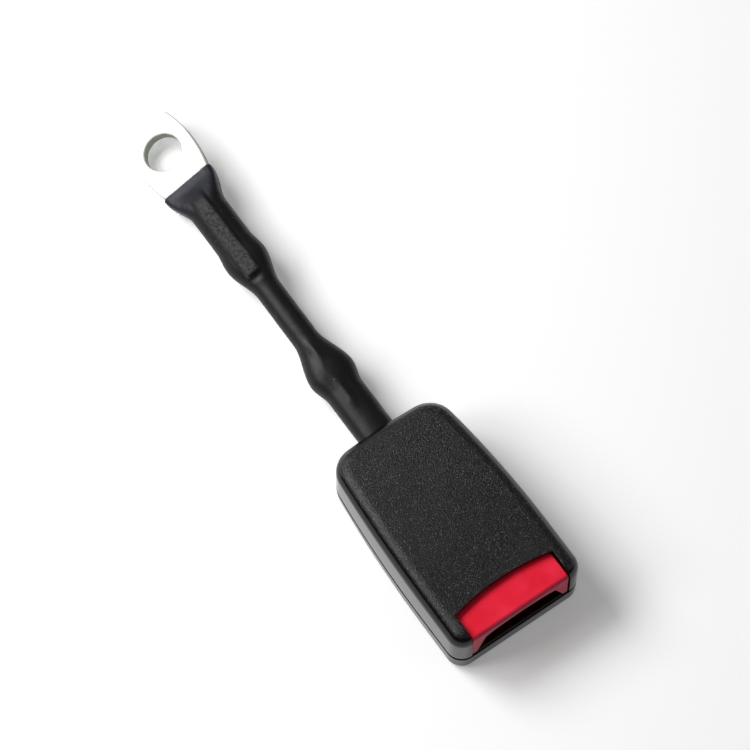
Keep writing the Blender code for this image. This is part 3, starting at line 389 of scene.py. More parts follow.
def window(name, low, high):
    """The tool that opens the upper shell for the button, with a bowed rear edge."""
    half = BUTTON_WIDTH / 2 + CLEAR
    edge = []
    steps = 40
    for step in range(steps + 1):
        x = half - 2 * half * step / steps
        edge.append((x, BUTTON_TOP_DEPTH + BUTTON_BOW * (1 - (x / half) ** 2)))
    return prism(name, [(-half, -OVERCUT), (half, -OVERCUT), *edge], low, high)


# The stalk's sections

def stepped(stations, place):
    """The value at a place, eased between the stations of (place, value)."""
    if place <= stations[0][0]:
        return stations[0][1]
    for (start, first), (end, second) in zip(stations, stations[1:]):
        if place <= end:
            share = (place - start) / (end - start)
            return first + (second - first) * share * share * (3 - 2 * share)
    return stations[-1][1]


BUCKLE_FLARE = (0.0183, 0.0103)
ANCHOR_FLARE = (0.0084, 0.0164)
ROPE_EASE = 0.0055


def stalk_profile(rope, barrel, flares, flat_ends):
    """Values at the stations of the sleeve, from the eye in the buckle to the plate's mouth."""
    return [
        (EYE_END, flat_ends[0]),
        (EYE_END + EYE_TAPER, barrel),
        (ROPE_START - BUCKLE_FLARE[0], barrel),
        (ROPE_START - BUCKLE_FLARE[1], flares[0]),
        (ROPE_START + ROPE_EASE, rope),
        (ROPE_END - ROPE_EASE, rope),
        (ROPE_END + ANCHOR_FLARE[0], flares[1]),
        (ROPE_END + ANCHOR_FLARE[1], barrel),
        (FLATTENING_START, barrel),
        (MOUTH, flat_ends[1]),
    ]


WIDTHS = stalk_profile(0.0092, 0.0134, (0.0166, 0.0152), (0.0218, 0.0200))
HEIGHTS = stalk_profile(0.0092, 0.0112, (0.0124, 0.0124), (0.0060, 0.0060))
POWERS = stalk_profile(2.0, 2.2, (2.2, 2.2), (6.0, 6.0))
AXIS = [
    (EYE_END, 0.0112),
    (EYE_END + EYE_TAPER, 0.0082),
    (ROPE_START, 0.0082),
    (ROPE_END, 0.0084),
    (FLATTENING_START, 0.0084),
    (MOUTH, 0.0075),
]
ROLLS = [(ROPE_START, 0.0), (ROPE_END, 17.0)]
PITCHES = [(FLATTENING_START, 0.0), (MOUTH, 6.0)]


def stalk_pose(station):
    """Where a section of the stalk stands, and how it is pitched and rolled."""
    pitch = Matrix.Rotation(-math.radians(stepped(PITCHES, station)), 4, "X")
    roll = Matrix.Rotation(-math.radians(stepped(ROLLS, station)), 4, "Y")
    return Matrix.Translation(at(0.0, station, stepped(AXIS, station))) @ pitch @ roll


def ease(low, high, value):
    share = min(1.0, max(0.0, (value - low) / (high - low)))
    return share * share * (3 - 2 * share)


# Flat lands that the crimping press leaves on top: first and last station, height, half
# width, how far they lean to one side, and how softly their ends and sides run out
LANDS = (
    (0.0915, 0.1160, 0.00612, 0.0010, -0.0010, 0.0022, 0.0040, 0.0030),
    (0.1488, 0.1810, 0.00640, 0.0025, -0.0002, 0.0006, 0.0060, 0.0014),
)
SLEEVE_STEP = 0.00045
LIP_LENGTH = 0.0001
LIP_DEPTH = 0.00012
SEEN_BORE = 0.012
# The hollow in the sleeve just before the rear land
HOLLOW_DEPTH = 0.0004
HOLLOW_REACH = (0.0034, 0.0014)
HOLLOW_EDGE = 0.0010
RUFFLE = 0.00005
MOUTH_RUFFLE = 0.00007
MOUTH_RUFFLE_LENGTH = 0.02
RUFFLE_SCALE = (260.0, 190.0, 260.0)


def land_lift(station, x, z):
    """How far the sleeve stands above its plain section on the crimped lands."""
    if z <= 0:
        return 0.0
    lift = 0.0
    for start, end, height, half, lean, near, far, side in LANDS:
        rise = ease(start - near, start + near, station)
        fall = ease(end - far, end + far, station)
        across = 1 - ease(half - side / 2, half + side / 2, abs(x - lean))
        lift = max(lift, rise * (1 - fall) * across * max(0.0, height - z))
    start, half, lean = LANDS[1][0], LANDS[1][3], LANDS[1][4]
    sink = ease(start - HOLLOW_REACH[0], start - HOLLOW_REACH[1], station)
    sink *= 1 - ease(start - HOLLOW_EDGE, start, station)
    return lift - HOLLOW_DEPTH * sink * (1 - ease(0.0, half + HOLLOW_EDGE, abs(x - lean)))


def sleeve_ring(station, depth, count=120, fine=True):
    """One section of the stalk, this deep below the sleeve's skin."""
    width = stepped(WIDTHS, station) / 2 - depth
    height = stepped(HEIGHTS, station) / 2 - depth
    power = 2 / stepped(POWERS, station)
    pose = stalk_pose(station)
    ring = []
    for i in range(count):
        angle = 2 * math.pi * i / count
        across = math.cos(angle)
        up = math.sin(angle)
        x = width * math.copysign(abs(across) ** power, across)
        z = height * math.copysign(abs(up) ** power, up)
        if fine:
            z += land_lift(station, x, z)
            spot = Vector((x, station, z)) * Vector(RUFFLE_SCALE)
            near_mouth = ease(MOUTH - MOUTH_RUFFLE_LENGTH, MOUTH, station)
            ruffle = RUFFLE + MOUTH_RUFFLE * near_mouth
            swell = noise.noise(spot) * ruffle + noise.noise(spot * 3.1) * ruffle * 0.4
            out = Vector((across / width, 0, up / height)).normalized() * swell
            x += out.x
            z += out.z
        ring.append(pose @ Vector((x, 0.0, z)))
    return ring


def span(start, end, step):
    """Even places from start to end, about one step apart."""
    count = max(1, round((end - start) / step))
    return [start + (end - start) * i / count for i in range(count + 1)]


def skin(bm, rings):
    """Faces between each ring of points and the next."""
    made = [[bm.verts.new(point) for point in ring] for ring in rings]
    for first, second in zip(made, made[1:]):
        for i in range(len(first)):
            j = (i + 1) % len(first)
            bm.faces.new([first[i], first[j], second[j], second[i]])
    return made


# Materials: colours in linear RGB, and the heights between which the covers' grain begins

COVER_TONES = ((0.0016, 0.0016, 0.0018), (0.0030, 0.0030, 0.0032))
# Pale specks in the covers' grain: painted glints
COVER_GLINT_SPECK = (0.21, 0.21, 0.213)
COVER_ROUGHNESS = (0.10, 0.26)
COVER_IOR = 1.38
SOFT_IOR = 1.33
GRAIN_HEIGHTS = (0.0236, 0.0244)
CLOUD = (0.3, 0.7)
RED_TONES = ((0.90, 0.010, 0.036), (1.0, 0.024, 0.064))
# The front face's red, darkened as painted shade
RED_FRONT_SHADE = (0.50, 0.014, 0.060)
SLEEVE_TONES = ((0.0032, 0.0032, 0.0036), (0.0052, 0.0052, 0.0056))
# Bluish and lighter at the tube's mouth: painted sheen
SLEEVE_MOUTH_SHEEN = (0.0090, 0.0098, 0.0175)
# Mottled grey on the flat land: painted sheen
SLEEVE_LAND_SHEEN = (0.052, 0.052, 0.053)
SLEEVE_WORN = (0.24, 0.24, 0.24)
LAND_RISE = (0.0058, 0.0064)
LAND_START = FRONT + LANDS[1][0]
ZINC = (0.76, 0.77, 0.745)
# The cut walls' zinc: greener, and darker as painted shade
ZINC_CUT_SHADED = (0.38, 0.405, 0.355)
FRAME_ZINC = (0.80, 0.81, 0.77)
NYLON_TONES = ((0.70, 0.68, 0.62), (0.78, 0.77, 0.72))
SPRING_STEEL = (0.42, 0.42, 0.44)
BARE_STEEL = (0.56, 0.56, 0.57)


def link(tree, source, target):
    tree.links.new(source, target)


class Look:
    """A Principled material with a few helpers for its nodes."""

    def __init__(self, name, roughness, metallic=0.0):
        self.material = bpy.data.materials.new(name)
        self.material.use_nodes = True
        self.tree = self.material.node_tree
        self.shader = self.tree.nodes["Principled BSDF"]
        self.shader.inputs["Roughness"].default_value = roughness
        self.shader.inputs["Metallic"].default_value = metallic
        self.position = self.node("ShaderNodeTexCoord").outputs["Object"]

    def node(self, kind, **values):
        node = self.tree.nodes.new(kind)
        for key, value in values.items():
            if key in node.inputs:
                node.inputs[key].default_value = value
            else:
                setattr(node, key, value)
        return node

    def noise(self, scale, detail=3.0, roughness=0.55, vector=None):
        node = self.node("ShaderNodeTexNoise", Scale=scale, Detail=detail, Roughness=roughness)
        link(self.tree, vector or self.position, node.inputs["Vector"])
        return node.outputs["Fac"]

    def cells(self, scale):
        node = self.node("ShaderNodeTexVoronoi", Scale=scale)
        link(self.tree, self.position, node.inputs["Vector"])
        return node.outputs["Distance"]

    def ramp(self, value, low, high, first=0.0, second=1.0):
        node = self.node("ShaderNodeMapRange")
        node.interpolation_type = "SMOOTHSTEP"
        link(self.tree, value, node.inputs["Value"])
        numbers = {"From Min": low, "From Max": high, "To Min": first, "To Max": second}
        for key, number in numbers.items():
            node.inputs[key].default_value = number
        return node.outputs["Result"]

    def maths(self, operation, first, second):
        node = self.node("ShaderNodeMath")
        node.operation = operation
        for socket, value in zip(node.inputs, (first, second)):
            if isinstance(value, (int, float)):
                socket.default_value = value
            else:
                link(self.tree, value, socket)
        return node.outputs[0]

    def times(self, first, second):
        return self.maths("MULTIPLY", first, second)

    def plus(self, first, second):
        return self.maths("ADD", first, second)

    def mix(self, fac, first, second):
        node = self.node("ShaderNodeMix")
        node.data_type = "RGBA"
        sockets = [s for s in node.inputs if s.type == "RGBA"]
        link(self.tree, fac, node.inputs[0])
        for socket, value in zip(sockets, (first, second)):
            if isinstance(value, tuple):
                socket.default_value = (*value, 1.0)
            else:
                link(self.tree, value, socket)
        return [s for s in node.outputs if s.type == "RGBA"][0]

    def axis(self, letter):
        node = self.node("ShaderNodeSeparateXYZ")
        link(self.tree, self.position, node.inputs[0])
        return node.outputs[letter]

    def facing(self, letter):
        geometry = self.node("ShaderNodeNewGeometry")
        node = self.node("ShaderNodeSeparateXYZ")
        link(self.tree, geometry.outputs["True Normal"], node.inputs[0])
        return node.outputs[letter]

    def set(self, key, value):
        link(self.tree, value, self.shader.inputs[key])

    def bump(self, height, distance, strength=1.0):
        node = self.node("ShaderNodeBump", Strength=strength, Distance=distance)
        link(self.tree, height, node.inputs["Height"])
        link(self.tree, node.outputs["Normal"], self.shader.inputs["Normal"])


def cover_look(name):
    """Grain on the top face and the shoulder, nearly smooth on the side walls; pale specks in
    the grain are painted glints.
    """
    look = Look(name, 0.5)
    look.shader.inputs["IOR"].default_value = COVER_IOR
    height = look.axis("Z")
    share = look.maths("SUBTRACT", look.axis("Y"), FRONT + ROOF_LEVEL)
    share = look.maths("MAXIMUM", look.maths("DIVIDE", share, LENGTH - ROOF_LEVEL), 0.0)
    drop = look.times(look.times(share, share), ROOF_DROP)
    grained = look.ramp(look.plus(height, drop), *GRAIN_HEIGHTS)
    coarse = look.noise(2300.0, 2.0, 0.6)
    fine = look.noise(5200.0, 2.0, 0.5)
    pits = look.cells(2000.0)
    grain = look.plus(look.times(coarse, 0.7), look.times(pits, 0.5))
    grain = look.plus(grain, look.times(fine, 0.3))
    faint = look.times(fine, 0.008)
    relief = look.plus(look.times(grain, grained), faint)
    look.bump(relief, 0.00020, 1.0)
    # painted glints: pale specks in the grained part
    glint_speck = look.ramp(look.noise(2500.0, 3.0, 0.75), 0.57, 0.69)
    blotch = look.noise(60.0, 3.0, 0.5)
    base = look.mix(look.ramp(blotch, *CLOUD), *COVER_TONES)
    glint_share = look.times(glint_speck, look.times(grained, 0.8))
    look.set("Base Color", look.mix(glint_share, base, COVER_GLINT_SPECK))
    rough = look.ramp(grained, 0.0, 1.0, *COVER_ROUGHNESS)
    look.set("Roughness", look.plus(rough, look.times(look.noise(900.0), 0.05)))
    return look.material


def red_look():
    """Satin red plastic, with painted shade darkening its front face."""
    look = Look("red_button", 0.42)
    look.shader.inputs["IOR"].default_value = SOFT_IOR
    look.shader.inputs["Subsurface Weight"].default_value = 0.06
    look.shader.inputs["Subsurface Radius"].default_value = (0.0008, 0.0002, 0.0002)
    cloud = look.noise(120.0, 3.0, 0.5)
    tone = look.mix(look.ramp(cloud, *CLOUD), *RED_TONES)
    # painted shade: faces turned to the front get the darker red
    front = look.ramp(look.facing("Y"), -0.35, -0.95)
    look.set("Base Color", look.mix(front, tone, RED_FRONT_SHADE))
    look.bump(look.noise(2200.0, 3.0, 0.6), 0.00006, 0.5)
    look.set("Roughness", look.plus(look.times(look.noise(700.0), 0.12), 0.38))
    return look.material


def sleeve_look():
    """Shrink tube: a painted bluish sheen at its mouth, a painted grey sheen on the land near
    the plate, and pale scuffs.
    """
    look = Look("shrink_sleeve", 0.4)
    look.shader.inputs["IOR"].default_value = SOFT_IOR
    along = look.axis("Y")
    # painted sheen: bluish and lighter towards the mouth
    mouth = look.ramp(along, 0.066, 0.079)
    cloud = look.noise(90.0, 4.0, 0.6)
    base = look.mix(look.ramp(cloud, *CLOUD), *SLEEVE_TONES)
    with_sheen = look.mix(mouth, base, SLEEVE_MOUTH_SHEEN)
    # How far a point lies above the stalk's axis, square to the rolled land
    lean = math.radians(ROLLS[1][1])
    rise = look.times(look.maths("SUBTRACT", look.axis("Z"), AXIS[3][1]), math.cos(lean))
    rise = look.plus(rise, look.times(look.axis("X"), -math.sin(lean)))
    land = look.ramp(rise, *LAND_RISE)
    land = look.times(land, look.ramp(along, LAND_START - 0.0012, LAND_START - 0.0002))
    # painted sheen: mottled grey on the flat land near the plate
    land_sheen = look.times(land, look.ramp(look.noise(900.0, 4.0, 0.75), 0.34, 0.66))
    with_sheen = look.mix(land_sheen, with_sheen, SLEEVE_LAND_SHEEN)
    scuff = look.ramp(look.noise(1500.0, 2.0, 0.6), 0.66, 0.76)
    begun = look.ramp(along, LAND_START - 0.0018, LAND_START - 0.0002)
    end = look.times(begun, look.ramp(along, LAND_START + 0.0037, LAND_START + 0.0007))
    end = look.times(end, look.ramp(rise, 0.0050, 0.0060))
    where = look.maths("MAXIMUM", look.ramp(look.noise(150.0, 2.0, 0.5), 0.54, 0.68), end)
    worn = look.times(look.times(scuff, where), 0.6)
    look.set("Base Color", look.mix(worn, with_sheen, SLEEVE_WORN))
    wrinkle = look.noise(420.0, 3.0, 0.5)
    orange_peel = look.noise(1800.0, 2.0, 0.5)
    rough_land = look.times(look.noise(2600.0, 3.0, 0.7), land)
    relief = look.plus(wrinkle, look.times(orange_peel, 0.25))
    relief = look.plus(relief, look.times(rough_land, 0.6))
    look.bump(relief, 0.00012, 0.6)
    rough = look.plus(look.times(look.noise(300.0), 0.14), 0.38)
    look.set("Roughness", look.plus(rough, look.times(land, 0.2)))
    return look.material


def zinc_look(name="zinc_plate", tint=ZINC, rough=0.66, face=None):
    """Zinc plating. The cut walls across the named face are greener and duller, and darkened as
    painted shade.
    """
    look = Look(name, rough, 1.0)
    cloud = look.noise(140.0, 4.0, 0.6)
    second = tuple(0.94 * v for v in tint)
    tone = look.mix(look.ramp(cloud, 0.35, 0.65), tint, second)
    if face:
        geometry = look.node("ShaderNodeNewGeometry")
        dot = look.node("ShaderNodeVectorMath", operation="DOT_PRODUCT")
        link(look.tree, geometry.outputs["True Normal"], dot.inputs[0])
        dot.inputs[1].default_value = face
        # painted shade: walls square to the named face get the darker zinc
        cut = look.ramp(look.maths("ABSOLUTE", dot.outputs["Value"], 0.0), 0.35, 0.10)
        tone = look.mix(cut, tone, ZINC_CUT_SHADED)
    look.set("Base Color", tone)
    spangle = look.cells(900.0)
    look.set("Roughness", look.plus(look.times(spangle, 0.14), rough))
    look.bump(look.noise(1400.0, 3.0, 0.6), 0.00005, 0.5)
    return look.material


def steel_look(name, tone, rough, stretch=(1.0, 1.0, 1.0)):
    """Plain steel with drawn or brushed lines where the noise is stretched."""
    look = Look(name, rough, 1.0)
    mapping = look.node("ShaderNodeMapping", Scale=stretch)
    link(look.tree, look.position, mapping.inputs["Vector"])
    lines = look.noise(900.0, 3.0, 0.6, mapping.outputs["Vector"])
    dark = tuple(0.82 * v for v in tone)
    look.set("Base Color", look.mix(look.ramp(lines, *CLOUD), tone, dark))
    look.set("Roughness", look.plus(look.times(lines, 0.14), rough - 0.05))
    look.bump(lines, 0.00004, 0.5)
    return look.material


def nylon_look():
    look = Look("nylon", 0.48)
    cloud = look.noise(300.0, 3.0, 0.5)
    look.set("Base Color", look.mix(cloud, *NYLON_TONES))
    look.bump(look.noise(1600.0), 0.00005, 0.5)
    look.set("Roughness", look.ramp(cloud, 0.2, 0.8, 0.42, 0.52))
    return look.material


# Pieces

def make_upper_shell():
    levels = [
        (GROOVE_EASE / 2, beside_parting(CLEAR)),
        (0.0, beside_parting(CLEAR + GROOVE_EASE)),
        *arc_levels(SHOULDER, HEIGHT, 0.0, True),
    ]
    cover = shell("upper_shell", levels, True)
    ceiling = HEIGHT - TOP_WALL
    inner = max(SHOULDER - SIDE_WALL, CLEAR)
    hollow = [(SIDE_WALL, -0.01), *arc_levels(inner, ceiling, SIDE_WALL, True, 4)]
    cavity = shell("cavity", hollow, True)
    cut_across(cover, ROOF_CUT_START, ROOF_CUT_END, ROOF_CUT_STEP)
    cut_across(cavity, ROOF_CUT_START, ROOF_CUT_END, 2 * ROOF_CUT_STEP)
    combine(cover, cavity, "DIFFERENCE")
    combine(cover, window("window", PARTING_FRONT, HEIGHT + OVERCUT), "DIFFERENCE")
    for x, station in SCREWS:
        head = ceiling * roof_share(station - BOSS_RADIUS) + BOSS_ROOT
        low = parting(station) + 2 * CLEAR
        combine(cover, pin("boss", BOSS_RADIUS, x, station, low, head), "UNION")
        combine(cover, pin("pilot", PILOT_RADIUS, x, station, 0, PILOT_TOP), "DIFFERENCE")
    combine(cover, stalk_opening("rear_mouth"), "DIFFERENCE")
    weld(cover)
    soften(cover, SMALL_EDGE, 2)
    weld(cover, FINE_WELD)
    shade(cover)
    return even_normals(cover)


def stalk_opening(name):
    """The tool that opens the shells' rear wall for the stalk."""
    bm = bmesh.new()
    ends = (LENGTH - SIDE_WALL - OVERCUT, LENGTH + OVERCUT)
    made = skin(bm, [sleeve_ring(station, -CLEAR, 96, False) for station in ends])
    bm.faces.new(made[0])
    bm.faces.new(made[-1][::-1])
    bmesh.ops.recalc_face_normals(bm, faces=bm.faces)
    return new_object(name, bm)


def make_lower_shell():
    levels = [
        *arc_levels(BASE, 0.0, 0.0, False)[::-1],
        (0.0, beside_parting(-GROOVE_HEIGHT)),
        (GROOVE_DEPTH, beside_parting(-CLEAR)),
        (GROOVE_DEPTH, parting),
    ]
    cover = shell("lower_shell", levels)
    inner = max(BASE - SIDE_WALL, CLEAR)
    hollow = [*arc_levels(inner, FLOOR_WALL, SIDE_WALL, False, 4)[::-1], (SIDE_WALL, 0.02)]
    combine(cover, shell("cavity", hollow), "DIFFERENCE")
    for side in (-1, 1):
        xs = (side * RIB_X - RIB_HALF, side * RIB_X + RIB_HALF)
        combine(cover, block("rib", xs, RIB_STATIONS, RIB_HEIGHTS), "UNION")
        xs = (side * POST_X - POST_HALF, side * POST_X + POST_HALF)
        combine(cover, block("post", xs, POST_STATIONS, POST_HEIGHTS), "UNION")
    for x, station in SCREWS:
        boss = pin("boss", BOSS_RADIUS, x, station, FLOOR_WALL / 2, parting(station))
        recess = pin("recess", RECESS_RADIUS, x, station, -OVERCUT, RECESS_TOP)
        bore = pin("bore", PILOT_RADIUS, x, station, -OVERCUT, SCREW_BORE_TOP)
        combine(cover, boss, "UNION")
        combine(cover, recess, "DIFFERENCE")
        combine(cover, bore, "DIFFERENCE")
    combine(cover, stalk_opening("rear_mouth"), "DIFFERENCE")
    weld(cover)
    soften(cover, SMALL_EDGE, 2)
    return even_normals(cover)


def make_button():
    """The button with its arch over the belt slot, and the two arms of the lock bar."""
    half = BUTTON_WIDTH / 2
    root = half - LEG_ROOT
    top = HEIGHT - TOP_WALL - CLEAR
    foot = PARTING_FRONT + CLEAR
    start = BUTTON_SETBACK
    end = start + BUTTON_TOP_DEPTH + BUTTON_BOW + BUTTON_WALL + CLEAR
    arch = []
    steps = 44
    for step in range(steps + 1):
        turn = math.pi * step / steps
        z = ARCH_SIDE + (ARCH_TOP - ARCH_SIDE) * math.sin(turn)
        arch.append((-root * math.cos(turn), z))
    tip = half - LEG_TIP
    legs = [(tip, foot), (half, foot), (half, top), (-half, top), (-half, foot), (-tip, foot)]
    button = upright("button_body", [*legs, *arch], start, end)
    bm = bmesh.new()
    bm.from_mesh(button.data)
    corner = []
    for edge in bm.edges:
        in_front = all(abs(vert.co.y - FRONT - start) < SNAP for vert in edge.verts)
        if in_front and all(abs(vert.co.z - top) < SNAP for vert in edge.verts):
            corner.append(edge)
    bmesh.ops.bevel(bm, geom=corner, offset=BUTTON_EDGE, segments=7, profile=0.5, affect="EDGES")
    bm.to_mesh(button.data)
    bm.free()
    soften(button, BUTTON_SMALL_EDGE, 4)
    inner = half - BUTTON_WALL
    depth = (start + BUTTON_WALL, end + OVERCUT)
    hollow = block("hollow", (-inner, inner), depth, (0.0, top - BUTTON_WALL))
    combine(button, hollow, "DIFFERENCE")
    for side in (-1, 1):
        xs = sorted((side * inner, side * (half - ARM_INSET)))
        arm = block("arm", xs, (start + BUTTON_WALL, ARM_END), (ARM_BOTTOM, ARM_TOP))
        combine(button, arm, "UNION")
    ends = [at(x, LOCK_BAR_STATION, LOCK_BAR_HEIGHT) for x in (-BUTTON_WIDTH, BUTTON_WIDTH)]
    combine(button, rod("bore", LOCK_BAR_RADIUS + CLEAR, *ends), "DIFFERENCE")
    weld(button)
    shade(button)
    return even_normals(button)


def make_sleeve():
    """The shrunk tube: its skin, a rounded mouth, and its bore back to the buckle."""
    bm = bmesh.new()
    outer = [sleeve_ring(s, 0.0) for s in span(TUBE_START, MOUTH, SLEEVE_STEP)[:-1]]
    outer.append(sleeve_ring(MOUTH - LIP_LENGTH, LIP_DEPTH / 3))
    outer.append(sleeve_ring(MOUTH, LIP_DEPTH))
    seen = span(MOUTH - SEEN_BORE, MOUTH - CLEAR, SEEN_BORE / 10)
    hidden = span(TUBE_START, MOUTH - 1.1 * SEEN_BORE, SEEN_BORE / 3)
    inner = [sleeve_ring(MOUTH, TUBE_WALL - LIP_DEPTH)]
    inner += [sleeve_ring(s, TUBE_WALL) for s in reversed(seen)]
    inner += [sleeve_ring(s, TUBE_WALL, fine=False) for s in reversed(hidden)]
    made = skin(bm, outer + inner)
    first, last = made[0], made[-1]
    for i in range(len(first)):
        j = (i + 1) % len(first)
        bm.faces.new([first[j], first[i], last[i], last[j]])
    bmesh.ops.recalc_face_normals(bm, faces=bm.faces)
    return new_object("sleeve", bm, EDGE_ANGLE)


def plate_half_width(along):
    """Half of the plate's width, this far past the mouth. It is widest at the hole."""
    away = along - MOUTH_TO_HOLE
    end, reach = PLATE_END_WIDTH, HOLE_TO_END
    if away < 0:
        end, reach = PLATE_MOUTH_WIDTH, MOUTH_TO_HOLE
    return (PLATE_WIDTH - (PLATE_WIDTH - end) * (away / reach) ** 2) / 2


def make_plate():
    """The pressed plate with its bolt hole, and the crimped barrel inside the sleeve."""
    end = MOUTH_TO_HOLE + HOLE_TO_END
    corner = end - PLATE_END_BOW
    right = []
    steps = 30
    for step in range(steps):
        # the sides stop short of where the corner's fillet starts
        along = CLEAR + (corner - 1.15 * PLATE_CORNER - CLEAR) * step / steps
        right.append((plate_half_width(along), along, 0.0))
    right.append((plate_half_width(corner), corner, PLATE_CORNER))
    left = [(-x, s, r) for x, s, r in reversed(right)]
    outline = fillet([*right, (0.0, end, 0.0), *left], 10)
    half = PLATE_THICKNESS / 2
    flat = prism("flat", [(x, s + MOUTH) for x, s in outline], -half, half)
    through = (-PLATE_THICKNESS, PLATE_THICKNESS)
    hole = pin("hole", HOLE_RADIUS, 0.0, MOUTH + MOUTH_TO_HOLE, *through, 96)
    combine(flat, hole, "DIFFERENCE")
    soften(flat, PLATE_EDGE, 4)
    flat.data.transform(stalk_pose(MOUTH) @ Matrix.Translation(-at(0.0, MOUTH, 0.0)))
    bm = bmesh.new()
    rings = [sleeve_ring(s, SLEEVE, 64, False) for s in span(ROPE_END, MOUTH, BARREL_STEP)]
    reach = stalk_pose(MOUTH).to_3x3() @ Vector((0.0, BARREL_REACH, 0.0))
    rings.append([p + reach for p in sleeve_ring(MOUTH, SLEEVE + CLEAR, 64, False)])
    made = skin(bm, rings)
    bm.faces.new(made[0])
    bm.faces.new(made[-1][::-1])
    bmesh.ops.recalc_face_normals(bm, faces=bm.faces)
    plate = new_object("bolt_plate", bm)
    combine(plate, flat, "UNION")
    ends = (ROPE_END - OVERCUT, ROPE_END + BARREL_BORE_DEPTH)
    bore = rod("bore", BARREL_BORE_RADIUS, *[at(0, s, AXIS[3][1]) for s in ends], 40)
    combine(plate, bore, "DIFFERENCE")
    weld(plate)
    shade(plate)
    return even_normals(plate)


def make_screw(name, x, station):
    """A pan head screw with a cross recess, its head down."""
    bm = bmesh.new()
    profile = [(0.0, SCREW_TIP), (0.0006, SCREW_TIP), (SCREW_SHANK, SCREW_TIP - 0.0014)]
    profile += [(SCREW_SHANK, SCREW_SEAT), (SCREW_HEAD, SCREW_SEAT)]
    steps = 6
    for step in range(steps + 1):
        turn = math.pi / 2 * step / steps
        inwards = SCREW_ROUND * (1 - math.cos(turn))
        down = SCREW_ROUND * (1 - math.sin(turn))
        profile.append((SCREW_HEAD - inwards, SCREW_FACE + down))
    profile.append((0.0, SCREW_FACE))
    rings = []
    count = 40
    for radius, z in profile:
        if radius == 0.0:
            rings.append([bm.verts.new(at(x, station, z))])
            continue
        ring = []
        for i in range(count):
            turn = 2 * math.pi * i / count
            spot = at(x + radius * math.cos(turn), station + radius * math.sin(turn), z)
            ring.append(bm.verts.new(spot))
        rings.append(ring)
    for first, second in zip(rings, rings[1:]):
        for i in range(count):
            j = (i + 1) % count
            corners = [first[0]] if len(first) == 1 else [first[i], first[j]]
            corners += [second[0]] if len(second) == 1 else [second[j], second[i]]
            bm.faces.new(corners)
    bmesh.ops.recalc_face_normals(bm, faces=bm.faces)
    screw = new_object(name, bm)
    for dx, dy in (RECESS_ARM, RECESS_ARM[::-1]):
        xs, stations = (x - dx, x + dx), (station - dy, station + dy)
        slot = block("slot", xs, stations, (-OVERCUT, SCREW_FACE + RECESS_DEPTH))
        combine(screw, slot, "DIFFERENCE")
    weld(screw, FINE_WELD)
    shade(screw)
    return screw


def make_coil(name, start, end, radius, wire, turns):
    """A compression spring along Y: close turns at both ends, open ones between them."""
    bm = bmesh.new()
    per_turn = 28
    sides = 10
    count = round(turns * per_turn)
    rings = []
    closed = 1.25 * per_turn
    pitch = 2 * wire / per_turn
    middle_length = end[1] - start[1] - 2 * closed * pitch - 2 * wire
    for i in range(count + 1):
        opened = min(1.0, max(0.0, i - closed) / (count - 2 * closed))
        near = min(i, closed) * pitch
        far = max(0.0, i - (count - closed)) * pitch
        station = start[1] + wire + near + far + opened * middle_length
        angle = 2 * math.pi * i / per_turn
        outwards = Vector((math.cos(angle), 0.0, math.sin(angle)))
        middle = at(start[0], station, start[2]) + outwards * radius
        ring = []
        for j in range(sides):
            turn = 2 * math.pi * j / sides
            out = math.cos(turn) * outwards + math.sin(turn) * Vector((0, 1, 0))
            ring.append(middle + wire * out)
        rings.append(ring)
    made = skin(bm, rings)
    bm.faces.new(made[0])
    bm.faces.new(made[-1][::-1])
    bmesh.ops.recalc_face_normals(bm, faces=bm.faces)
    return new_object(name, bm, COIL_ANGLE)


def dress(obj, body, material, slot_name, *nodes):
    """Gives a piece its material and body, in place of the nodes named."""
    obj.data.materials.clear()
    obj.data.materials.append(material)
    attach(obj, body)
    if nodes:
        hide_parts(*nodes)


covers = cover_look("grained_cover")
zinc = zinc_look()
dress(make_upper_shell(), "buckle_body", covers, "cover_plastic", "upper_cover")
dress(make_lower_shell(), "buckle_body", covers, "cover_plastic", "lower_cover")
dress(make_button(), "button", red_look(), "button_plastic", "press_button")
dress(make_sleeve(), "buckle_body", sleeve_look(), "sleeve_plastic", "shrink_tube")
plate_face = tuple(stalk_pose(MOUTH).to_3x3() @ Vector((0.0, 0.0, 1.0)))
plate_zinc = zinc_look("plate_zinc", face=plate_face)
dress(make_plate(), "buckle_body", plate_zinc, "zinc_steel", "anchor_plate")
for side_name, (screw_x, screw_station) in zip(("left", "right"), SCREWS):
    screw = make_screw(f"screw_{side_name}", screw_x, screw_station)
    dress(screw, "buckle_body", zinc, "zinc_steel", f"cover_screw_{side_name}")

spring_steel = steel_look("spring_wire", SPRING_STEEL, 0.30)
BUTTON_SPRING = (0.0399, 0.0575)
BUTTON_SPRING_HEIGHT = 0.0178
EJECTOR_SPRING = (0.0363, 0.0554)
EJECTOR_SPRING_HEIGHT = 0.0106
BUTTON_COIL = 0.0016
EJECTOR_COIL = 0.0012
WIRE = 0.0003
for side_name, side in (("left", -1), ("right", 1)):
    x = side * (BUTTON_WIDTH - BUTTON_WALL) / 2
    ends = [(x, station, BUTTON_SPRING_HEIGHT) for station in BUTTON_SPRING]
    coil = make_coil(f"button_coil_{side_name}", *ends, BUTTON_COIL, WIRE, 9)
    dress(coil, "buckle_body", spring_steel, "spring_steel", f"button_spring_{side_name}")
    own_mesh(coil)
ends = [(0.0, station, EJECTOR_SPRING_HEIGHT) for station in EJECTOR_SPRING]
coil = make_coil("ejector_coil", *ends, EJECTOR_COIL, WIRE, 12)
dress(coil, "buckle_body", spring_steel, "spring_steel", "ejector_spring")
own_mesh(coil)

